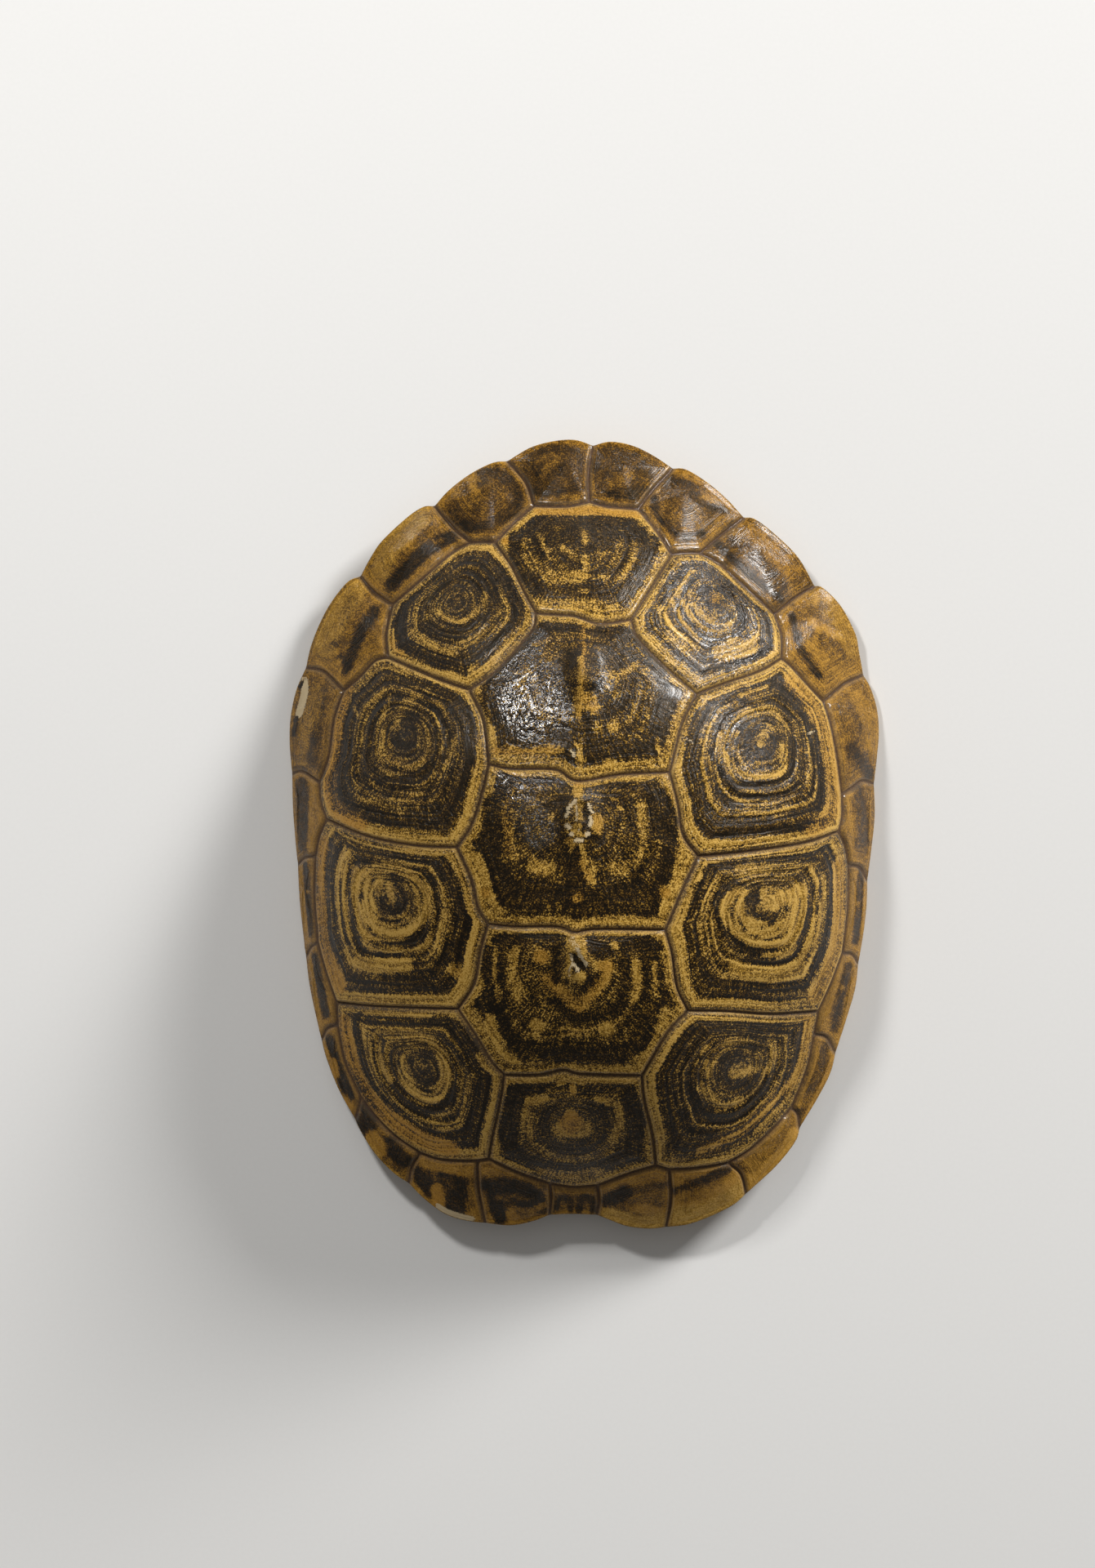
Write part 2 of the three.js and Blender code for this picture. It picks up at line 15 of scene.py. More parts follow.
import bpy
import numpy as np
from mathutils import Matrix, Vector


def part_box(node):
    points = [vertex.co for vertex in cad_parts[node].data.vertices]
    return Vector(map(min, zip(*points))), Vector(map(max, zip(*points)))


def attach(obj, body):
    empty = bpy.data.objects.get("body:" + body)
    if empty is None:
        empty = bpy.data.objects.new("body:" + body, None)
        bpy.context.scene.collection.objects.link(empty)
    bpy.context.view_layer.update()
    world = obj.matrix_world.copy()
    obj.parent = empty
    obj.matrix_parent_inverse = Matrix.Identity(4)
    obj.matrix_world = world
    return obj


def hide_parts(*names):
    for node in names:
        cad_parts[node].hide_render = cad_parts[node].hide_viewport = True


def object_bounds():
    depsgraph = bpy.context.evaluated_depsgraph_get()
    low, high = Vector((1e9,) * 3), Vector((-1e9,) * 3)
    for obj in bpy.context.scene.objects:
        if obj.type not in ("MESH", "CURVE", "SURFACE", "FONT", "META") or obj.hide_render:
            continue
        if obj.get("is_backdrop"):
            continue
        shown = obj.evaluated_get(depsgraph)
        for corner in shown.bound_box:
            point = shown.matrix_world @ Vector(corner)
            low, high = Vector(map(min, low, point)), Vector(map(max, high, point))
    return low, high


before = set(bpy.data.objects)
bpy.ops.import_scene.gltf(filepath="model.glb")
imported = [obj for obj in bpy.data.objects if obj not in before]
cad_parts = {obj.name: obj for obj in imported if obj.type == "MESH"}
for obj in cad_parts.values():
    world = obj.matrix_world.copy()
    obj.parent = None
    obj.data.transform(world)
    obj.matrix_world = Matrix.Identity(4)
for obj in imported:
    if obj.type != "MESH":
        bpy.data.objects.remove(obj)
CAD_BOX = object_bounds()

logging.basicConfig(level=logging.INFO, format="%(message)s")
LOG = logging.getLogger("turtle_shell")

MM = 0.001
NODE = "carapace"

Point = tuple[float, float]
Inputs = dict[str | int, object]
Paint = dict[str, np.ndarray | float]
Color = tuple[float, float, float]
Tint = tuple[float, float, float, float]


class Side(Enum):
    """The two sides of the shell, by the sign of their x."""

    EAST = "E"
    WEST = "W"


# ---------------------------------------------------------------------------------------------- the plan

# The plan of the seams is drawn on squares, with its origin in the middle of the shell.
SHELL_LENGTH = 225.0
PLAN_LENGTH = 969
SQUARE = SHELL_LENGTH / PLAN_LENGTH

# Corners of the scutes, E on the +x side and W on the other. r is a notch in the rim and m the inner end
# of a seam between two marginal scutes, both counted from the tail to the head. c is an outer corner
# and v an inner corner of a costal scute, named for the scutes that meet there.
CORNERS: dict[str, Point] = {
    "r0": (11, 476), "rE1": (109, 448), "rE2": (196, 388), "rE3": (283, 304), "rE4": (343, 195),
    "rE5": (356, 62), "rE6": (348, -56), "rE7": (337, -158), "rE8": (309, -268), "rE9": (265, -360),
    "rE10": (199, -441), "rE11": (101, -482), "rE12": (16, -467), "rW1": (-94, 457), "rW2": (-183, 402),
    "rW3": (-274, 316), "rW4": (-341, 204), "rW5": (-358, 74), "rW6": (-351, -37), "rW7": (-341, -150),
    "rW8": (-322, -252), "rW9": (-281, -349), "rW10": (-215, -428), "rW11": (-121, -477), "rW12": (-42, -467),
    "m0": (7, 408), "mE1": (67, 399), "mE2": (143, 345), "mE3": (235, 270), "mE4": (295, 163), "mE5": (318, 49),
    "mE6": (326, -39), "mE7": (319, -146), "mE8": (284, -246), "mE9": (256, -336), "mE10": (178, -404),
    "mE11": (105, -412), "mE12": (16, -432), "mW1": (-62, 403), "mW2": (-140, 358), "mW3": (-236, 282),
    "mW4": (-296, 176), "mW5": (-326, 63), "mW6": (-331, -28), "mW7": (-328, -134), "mW8": (-304, -235),
    "mW9": (-275, -323), "mW10": (-201, -392), "mW11": (-131, -401), "mW12": (-41, -430), "cE5": (108, 343),
    "cE4": (243, 216), "cE3": (314, 3), "cE2": (289, -218), "cE1": (88, -407), "cW5": (-109, 358),
    "cW4": (-241, 217), "cW3": (-317, 18), "cW2": (-305, -207), "cW1": (-117, -399), "vE54": (58, 263),
    "vE4": (138, 172), "vE43": (105, 76), "vE3": (140, -27), "vE32": (100, -117), "vE2": (128, -216),
    "vE21": (71, -296), "vW54": (-59, 271), "vW4": (-141, 177), "vW43": (-117, 86), "vW3": (-156, -16),
    "vW32": (-118, -110), "vW2": (-155, -214), "vW21": (-98, -295),
}
NOTCHES = np.array([spot for name, spot in CORNERS.items() if name[0] == "r"]) * SQUARE
# Every seam: the two corners that it joins, and the x and y of the points that its curve passes between.
SEAMS: dict[str, tuple[int, ...]] = {
    "r0 rE1": (33, 481, 60, 476, 85, 464), "rE1 rE2": (125, 447, 150, 432, 175, 411),
    "rE2 rE3": (210, 386, 235, 367, 263, 339), "rE3 rE4": (293, 302, 315, 280, 333, 246, 338, 222),
    "rE4 rE5": (352, 179, 360, 152, 362, 122, 359, 87), "rE5 rE6": (357, 22, 353, -18),
    "rE6 rE7": (347, -88, 343, -123), "rE7 rE8": (333, -190, 322, -228), "rE8 rE9": (303, -292, 288, -322),
    "rE9 rE10": (259, -378, 235, -408), "rE10 rE11": (183, -455, 155, -469, 127, -479),
    "rE11 rE12": (80, -484, 53, -481, 31, -473), "rE12 rW12": (-13, -466),
    "r0 rW1": (-10, 483, -35, 482, -65, 474), "rW1 rW2": (-112, 455, -140, 441, -166, 421),
    "rW2 rW3": (-197, 401, -217, 388, -247, 360, -261, 340), "rW3 rW4": (-291, 308, -315, 276, -333, 236),
    "rW4 rW5": (-353, 176, -360, 142, -361, 110), "rW5 rW6": (-357, 32, -354, -8),
    "rW6 rW7": (-349, -78, -345, -118), "rW7 rW8": (-337, -183, -330, -218),
    "rW8 rW9": (-316, -275, -301, -313), "rW9 rW10": (-274, -364, -257, -391, -233, -416),
    "rW10 rW11": (-195, -448, -170, -466, -145, -474), "rW11 rW12": (-90, -480, -63, -475), "r0 m0": (6, 442),
    "rE1 mE1": (85, 422), "rE2 mE2": (169, 367), "rE3 mE3": (260, 290), "rE4 mE4": (320, 184),
    "rE5 mE5": (342, 65, 331, 57), "rE6 mE6": (339, -41), "rE7 mE7": (330, -148), "rE8 mE8": (299, -250),
    "rE9 mE9": (263, -344), "rE10 mE10": (193, -417), "rE11 mE11": (107, -448), "rE12 mE12": (18, -450),
    "rW1 mW1": (-72, 432), "rW2 mW2": (-162, 377), "rW3 mW3": (-257, 296), "rW4 mW4": (-323, 201, -308, 188),
    "rW5 mW5": (-348, 77, -337, 71), "rW6 mW6": (-343, -29), "rW7 mW7": (-336, -139), "rW8 mW8": (-316, -239),
    "rW9 mW9": (-277, -336), "rW10 mW10": (-211, -408), "rW11 mW11": (-129, -438), "rW12 mW12": (-40, -448),
    "m0 mE1": (30, 402), "mE1 cE5": (88, 374), "cE5 mE2": (123, 345), "mE2 mE3": (165, 333, 190, 311),
    "mE3 cE4": (243, 244), "cE4 mE4": (255, 206, 275, 184), "mE4 mE5": (304, 135, 312, 94),
    "mE5 cE3": (318, 22), "cE3 mE6": (322, -18), "mE6 mE7": (325, -93), "mE7 cE2": (305, -183), "cE2 mE8": (),
    "mE8 mE9": (275, -288), "mE9 mE10": (233, -362, 203, -389), "mE10 mE11": (155, -408, 130, -411),
    "mE11 cE1": (), "cE1 mE12": (55, -417), "m0 mW1": (-15, 403, -35, 402), "mW1 cW5": (-85, 383),
    "cW5 mW2": (-123, 359), "mW2 mW3": (-162, 346, -200, 313), "mW3 cW4": (-243, 246),
    "cW4 mW4": (-257, 213, -277, 192), "mW4 mW5": (-308, 140, -314, 97), "mW5 cW3": (-324, 40),
    "cW3 mW6": (-326, -3), "mW6 mW7": (-332, -78), "mW7 cW2": (-318, -170), "cW2 mW8": (),
    "mW8 mW9": (-294, -281), "mW9 mW10": (-255, -349, -230, -373), "mW10 mW11": (-180, -399, -155, -401),
    "mW11 cW1": (), "cW1 mW12": (-80, -416), "mE12 mW12": (-13, -434), "vE54 cE5": (85, 306),
    "vE4 cE4": (175, 186, 215, 200), "vE3 cE3": (195, -22, 270, -11), "vE2 cE2": (175, -217, 230, -221),
    "vE21 cE1": (74, -326, 84, -370), "vW54 cW5": (-74, 298, -90, 330), "vW4 cW4": (-185, 193),
    "vW3 cW3": (-205, -14, -265, -3), "vW2 cW2": (-205, -213, -260, -211), "vW21 cW1": (-102, -325, -112, -370),
    "vE54 vE4": (67, 240, 100, 205), "vE4 vE43": (121, 138, 113, 107), "vE43 vE3": (115, 37, 121, 0),
    "vE3 vE32": (123, -63), "vE32 vE2": (108, -146, 114, -186), "vE2 vE21": (101, -245),
    "vW54 vW4": (-65, 249, -107, 202), "vW4 vW43": (-125, 144, -120, 117), "vW43 vW3": (-124, 55, -138, 12),
    "vW3 vW32": (-138, -56, -130, -90), "vW32 vW2": (-128, -146, -135, -183),
    "vW2 vW21": (-131, -250, -112, -281), "vW54 vE54": (-33, 269, -10, 267, 20, 258),
    "vW43 vE43": (-90, 80, -35, 79, -8, 65, 45, 73), "vW32 vE32": (-85, -113, -33, -113, -11, -120, 15, -116),
    "vW21 vE21": (-55, -295, -25, -289, -3, -294),
}
AREOLAE: dict[str, Point] = {
    "vertebral_1": (-13, -352), "vertebral_2": (-11, -148), "vertebral_3": (-7, 22), "vertebral_4": (-3, 202),
    "vertebral_5": (-1, 364), "costal_E1": (188, -283), "costal_E2": (218, -84), "costal_E3": (217, 114),
    "costal_E4": (165, 284), "costal_W1": (-197, -284), "costal_W2": (-237, -74), "costal_W3": (-219, 122),
    "costal_W4": (-157, 284),
}


# -------------------------------------------------------------------------------------------- the surface


def smoothstep(low: float, high: float, value: np.ndarray) -> np.ndarray:
    """A smooth step from 0 at low to 1 at high.

    Args:
        low: Where the step starts.
        high: Where it ends.
        value: The values to step.

    Returns:
        The stepped values.
    """
    t = np.clip((value - low) / (high - low), 0.0, 1.0)
    return t * t * (3.0 - 2.0 * t)


def spline(knots: np.ndarray, spacing: float) -> np.ndarray:
    """Evenly spaced points on the smooth curve through some knots.

    Args:
        knots: The points that the curve passes, from end to end.
        spacing: The distance that the points should have.

    Returns:
        The points, with both ends.
    """
    padded = np.vstack([2 * knots[0] - knots[1], knots, 2 * knots[-1] - knots[-2]])
    t = np.linspace(0, 1, 24, endpoint=False)[:, None]
    pieces = []
    for before, start, end, after in zip(padded, padded[1:], padded[2:], padded[3:]):
        linear = (end - before) * t
        square = (2 * before - 5 * start + 4 * end - after) * t**2
        cube = (3 * start - before - 3 * end + after) * t**3
        pieces.append(0.5 * (2 * start + linear + square + cube))
    fine = np.vstack([*pieces, knots[-1:]])
    run = np.concatenate([[0], np.cumsum(np.linalg.norm(np.diff(fine, axis=0), axis=1))])
    even = np.linspace(0, run[-1], max(2, round(run[-1] / spacing)) + 1)
    return np.column_stack([np.interp(even, run, fine[:, axis]) for axis in (0, 1)])


@dataclass(frozen=True)
class Seam:
    """A seam between two corners of the plan."""

    start: str
    end: str
    between: tuple[int, ...]

    @property
    def on_rim(self) -> bool:
        """Whether the seam is a stretch of the shell's outer edge."""
        return self.start[0] == "r" and self.end[0] == "r"

    def line(self, spacing: float) -> np.ndarray:
        """Evenly spaced points along the seam, in millimetres."""
        knots = (*CORNERS[self.start], *self.between, *CORNERS[self.end])
        return spline(np.reshape(knots, (-1, 2)) * SQUARE, spacing)


ALL_SEAMS = tuple(Seam(*name.split(), between) for name, between in SEAMS.items())


@dataclass(frozen=True)
class Knob:
    """A knob of the keel, with the worn pit in its top."""

    x: float
    y: float
    height: float
    across: float
    tailward: float
    headward: float
    pit: float

    def rise(self, x: np.ndarray, y: np.ndarray) -> np.ndarray:
        """The knob's height over the keel.

        Args:
            x: The places' x.
            y: The places' y.

        Returns:
            The heights, less where the tip is worn.
        """
        dx = (x - self.x * SQUARE) / self.across
        dy = y - self.y * SQUARE
        along = dy / np.where(dy > 0, self.tailward, self.headward)
        pit = self.pit * np.exp(-((dx * 2.2) ** 2) - (along * 2.2) ** 2)
        return self.height * np.exp(-(dx**2) - along**2) - pit


@dataclass
class Dome:
    """The shell's smooth form, before its seams, rings and scars."""

    crown_height: float = 61.0
    crown_y: float = -10.0
    lip: float = 2.0
    tail_lift: float = 7.5
    head_lift: float = 7.0
    side_flare: float = -0.3
    end_flare: float = 0.21
    keel_height: float = 0.9
    keel_half_width: float = 7.0
    knobs: tuple[Knob, ...] = (
        Knob(-9, -146, 3.2, 3.6, 5.0, 8.0, 1.2),
        Knob(-6, 26, 3.4, 3.8, 6.5, 9.0, 1.3),
        Knob(-3, 206, 4.2, 3.5, 4.5, 8.5, 0.0),
    )
    steps: int = 1440
    angles: np.ndarray = field(init=False)
    exact: np.ndarray = field(init=False)
    smooth: np.ndarray = field(init=False)

    def __post_init__(self) -> None:
        """Measures the outline's radius around the crown, as it is and smoothed."""
        rim = np.vstack([seam.line(0.3) for seam in ALL_SEAMS if seam.on_rim])
        away = rim - [0.0, self.crown_y]
        angle = np.arctan2(away[:, 1], away[:, 0]) % (2 * math.pi)
        order = np.argsort(angle)
        self.angles = np.arange(self.steps) / self.steps * 2 * math.pi
        radius = np.linalg.norm(away, axis=1)
        self.exact = np.interp(self.angles, angle[order], radius[order], period=2 * math.pi)
        reach = self.steps // 20
        shift = np.arange(-reach, reach + 1)
        weight = np.exp(-3 * (shift / reach) ** 2)
        turned = np.array([np.roll(self.exact, int(s)) for s in shift])
        self.smooth = weight @ turned / weight.sum()

    def radius(self, angle: np.ndarray, table: np.ndarray) -> np.ndarray:
        """The outline's radius in some directions, from one of the two tables."""
        return np.interp(angle % (2 * math.pi), self.angles, table, period=2 * math.pi)

    def inset(self, places: np.ndarray) -> np.ndarray:
        """How far some places lie inside the outline, on their way from the crown."""
        x, y = places[:, 0], places[:, 1] - self.crown_y
        return self.radius(np.arctan2(y, x), self.exact) - np.hypot(x, y)

    def rim_height(self, y: np.ndarray) -> np.ndarray:
        """Height of the rim's upper edge where the outline is at y."""
        tail = self.tail_lift * smoothstep(28, 108, y)
        return self.lip + tail + self.head_lift * smoothstep(50, 108, -y)

    def height(self, x: np.ndarray, y: np.ndarray) -> np.ndarray:
        """Height of the plain dome with its keel.

        Args:
            x: The places' x.
            y: The places' y.

        Returns:
            The heights.
        """
        angle = np.arctan2(y - self.crown_y, x)
        away = np.hypot(x, y - self.crown_y)
        edge = self.radius(angle, self.exact)
        blend = smoothstep(0.75, 0.97, away / edge)
        smooth = self.radius(angle, self.smooth)
        share = away / (smooth + (edge - smooth) * blend)
        tailward = np.sin(angle)
        to_end = smoothstep(0.1, 0.85, tailward) + smoothstep(0.2, 0.9, -tailward)
        flare = self.side_flare + (self.end_flare - self.side_flare) * to_end
        rim = self.rim_height(self.crown_y + edge * tailward)
        fall = (1 + flare) * share ** (2 + 0.4 * to_end) - flare * share**8
        keel = self.keel_height * np.exp(-((x / self.keel_half_width) ** 2))
        keel = keel * (1 - smoothstep(0.75, 0.95, share))
        return rim + (self.crown_height - rim) * (1 - fall) + keel

    def normal(self, x: np.ndarray, y: np.ndarray) -> np.ndarray:
        """The dome's outward normals.

        Args:
            x: The places' x.
            y: The places' y.

        Returns:
            One unit vector a place.
        """
        step = 0.5
        slope_x = (self.height(x + step, y) - self.height(x - step, y)) / (2 * step)
        slope_y = (self.height(x, y + step) - self.height(x, y - step)) / (2 * step)
        normal = np.column_stack([-slope_x, -slope_y, np.ones_like(slope_x)])
        return normal / np.linalg.norm(normal, axis=1, keepdims=True)

    def top(self, place: np.ndarray, raised: np.ndarray) -> np.ndarray:
        """Points of the dome with its knobs, moved out along its normal.

        Args:
            place: Places of the plan.
            raised: How far each point stands out.

        Returns:
            The points in space.
        """
        x, y = place[:, 0], place[:, 1]
        height = self.height(x, y) + sum(knob.rise(x, y) for knob in self.knobs)
        return np.column_stack([x, y, height]) + self.normal(x, y) * raised[:, None]


# ----------------------------------------------------------------------------------------------- the mesh


@dataclass
class Net:
    """A mesh that grows ring by ring, with a row of paint values for every point."""

    paints: tuple[str, ...] = (
        "growth", "seam", "tone", "warm", "worn", "gloss", "lift", "ridge", "lines", "soft", "top", "scute",
    )
    places: list[np.ndarray] = field(default_factory=list)
    values: list[np.ndarray] = field(default_factory=list)
    spokes: list[np.ndarray] = field(default_factory=list)
    faces: list[np.ndarray] = field(default_factory=list)
    size: int = 0

    def add(self, places: np.ndarray, paint: Paint, spokes: np.ndarray) -> np.ndarray:
        """Adds points and returns their numbers.

        Args:
            places: The points in space.
            paint: The points' paint values, 0 where one is left out.
            spokes: For each point, its direction and distance from the middle of its scute.

        Returns:
            The points' numbers in the net.
        """
        rows = np.zeros((len(places), len(self.paints)))
        for column, name in enumerate(self.paints):
            rows[:, column] = paint.get(name, 0.0)
        self.places.append(places)
        self.values.append(rows)
        self.spokes.append(spokes)
        self.size += len(places)
        return np.arange(self.size - len(places), self.size)

    def bridge(self, outer: "Ring", inner: "Ring") -> None:
        """Adds the faces between two rings.

        Args:
            outer: The outer ring.
            inner: The ring inside it, which stands on all or every second one of its spokes.
        """
        count = len(outer.on)
        first = np.searchsorted(outer.on, inner.on)
        span = (np.roll(first, -1) - first) % count
        here, following = inner.point, np.roll(inner.point, -1)
        start, middle = outer.point[first], outer.point[(first + 1) % count]
        single = span == 1
        quads = np.column_stack([start, middle, following, here])[single]
        double = ~single
        end = outer.point[(first + 2) % count]
        corner = np.column_stack([start, middle, here])[double]
        kite = np.column_stack([middle, end, following, here])[double]
        self.faces += [quads, corner, kite]

    def close(self, ring: "Ring", middle: int) -> None:
        """Faces between the innermost ring and one point."""
        following = np.roll(ring.point, -1)
        self.faces.append(np.column_stack([ring.point, following, np.full(len(following), middle)]))

    def mesh(self, name: str, shift: np.ndarray) -> bpy.types.Mesh:
        """Makes the net's mesh, with its paint as attributes.

        Args:
            name: The mesh's name.
            shift: How far it is moved, in millimetres.

        Returns:
            The mesh, in metres.
        """
        used = np.unique(np.concatenate([rows.ravel() for rows in self.faces]))
        number = np.zeros(self.size, dtype=int)
        number[used] = np.arange(len(used))
        points = (np.vstack(self.places)[used] + shift) * MM
        mesh = bpy.data.meshes.new(name)
        mesh.from_pydata(points.tolist(), [], [face for rows in self.faces for face in number[rows].tolist()])
        values = np.vstack(self.values)[used]
        for column, paint in enumerate(self.paints):
            layer = mesh.attributes.new(paint, "FLOAT", "POINT")
            layer.data.foreach_set("value", values[:, column].astype(np.float32))
        layer = mesh.attributes.new("spoke", "FLOAT_VECTOR", "POINT")
        layer.data.foreach_set("vector", np.vstack(self.spokes)[used].astype(np.float32).ravel())
        mesh.polygons.foreach_set("use_smooth", np.ones(len(mesh.polygons), dtype=bool))
        mesh.update()
        return mesh


@dataclass
class Ring:
    """A closed ring of a net: on which spokes its points stand, and their numbers."""

    on: np.ndarray
    point: np.ndarray


def thinned(places: np.ndarray, spacing: float, fewest: int = 12) -> np.ndarray:
    """Picks the spokes that the next ring stands on, every second one where they come too close together.

    Args:
        places: The places of the last ring's points.
        spacing: The least distance to keep.
        fewest: The number of points up to which none is left out.

    Returns:
        The numbers of the kept points.
    """
    gaps = np.linalg.norm(np.roll(places, -1, axis=0) - places, axis=1)
    crowded = gaps.mean() < spacing and len(places) > fewest
    return np.arange(0, len(places), 2) if crowded else np.arange(len(places))


def nearest_distance(places: np.ndarray, lines: list[np.ndarray]) -> np.ndarray:
    """Distance from each place to the nearest of some polylines.

    Args:
        places: The places of the plan.
        lines: The polylines' points.

    Returns:
        The distances.
    """
    best = np.full(len(places), 1e9)
    for line in lines:
        start, along = line[:-1], np.diff(line, axis=0)
        away = places[:, None] - start
        share = np.clip(np.sum(away * along, axis=2) / np.maximum(np.sum(along * along, axis=1), 1e-12), 0, 1)
        best = np.minimum(best, np.linalg.norm(away - share[..., None] * along, axis=2).min(axis=1))
    return best


# ---------------------------------------------------------------------------------------------- the paint


class Channel(Enum):
    """What a stroke changes: how light the horn is drawn, a few painted highlights and shade included, how
    orange, worn or glossy it is, or its height in millimetres.
    """

    TONE = "tone"
    WARM = "warm"
    WORN = "worn"
    GLOSS = "gloss"
    LIFT = "lift"


TONE, WARM, WORN, GLOSS, LIFT = Channel


def stroke_weight(squares: np.ndarray, half_width: float, *steps: int) -> np.ndarray:
    """How much a painted line, or a spot, covers some places.

    Args:
        squares: The places, in squares.
        half_width: Half the width of the line.
        steps: Its first square, and the step from each of its squares to the next.

    Returns:
        A weight from 0 to 1 for each place.
    """
    line = np.cumsum(np.reshape(steps, (-1, 2)), axis=0).astype(float)
    if len(line) == 1:
        away = np.linalg.norm(squares - line[0], axis=1)
    else:
        away = nearest_distance(squares, [spline(line, 5.0) if len(line) > 2 else line])
    return 1 - smoothstep(half_width * 0.65, half_width * 1.3, away)
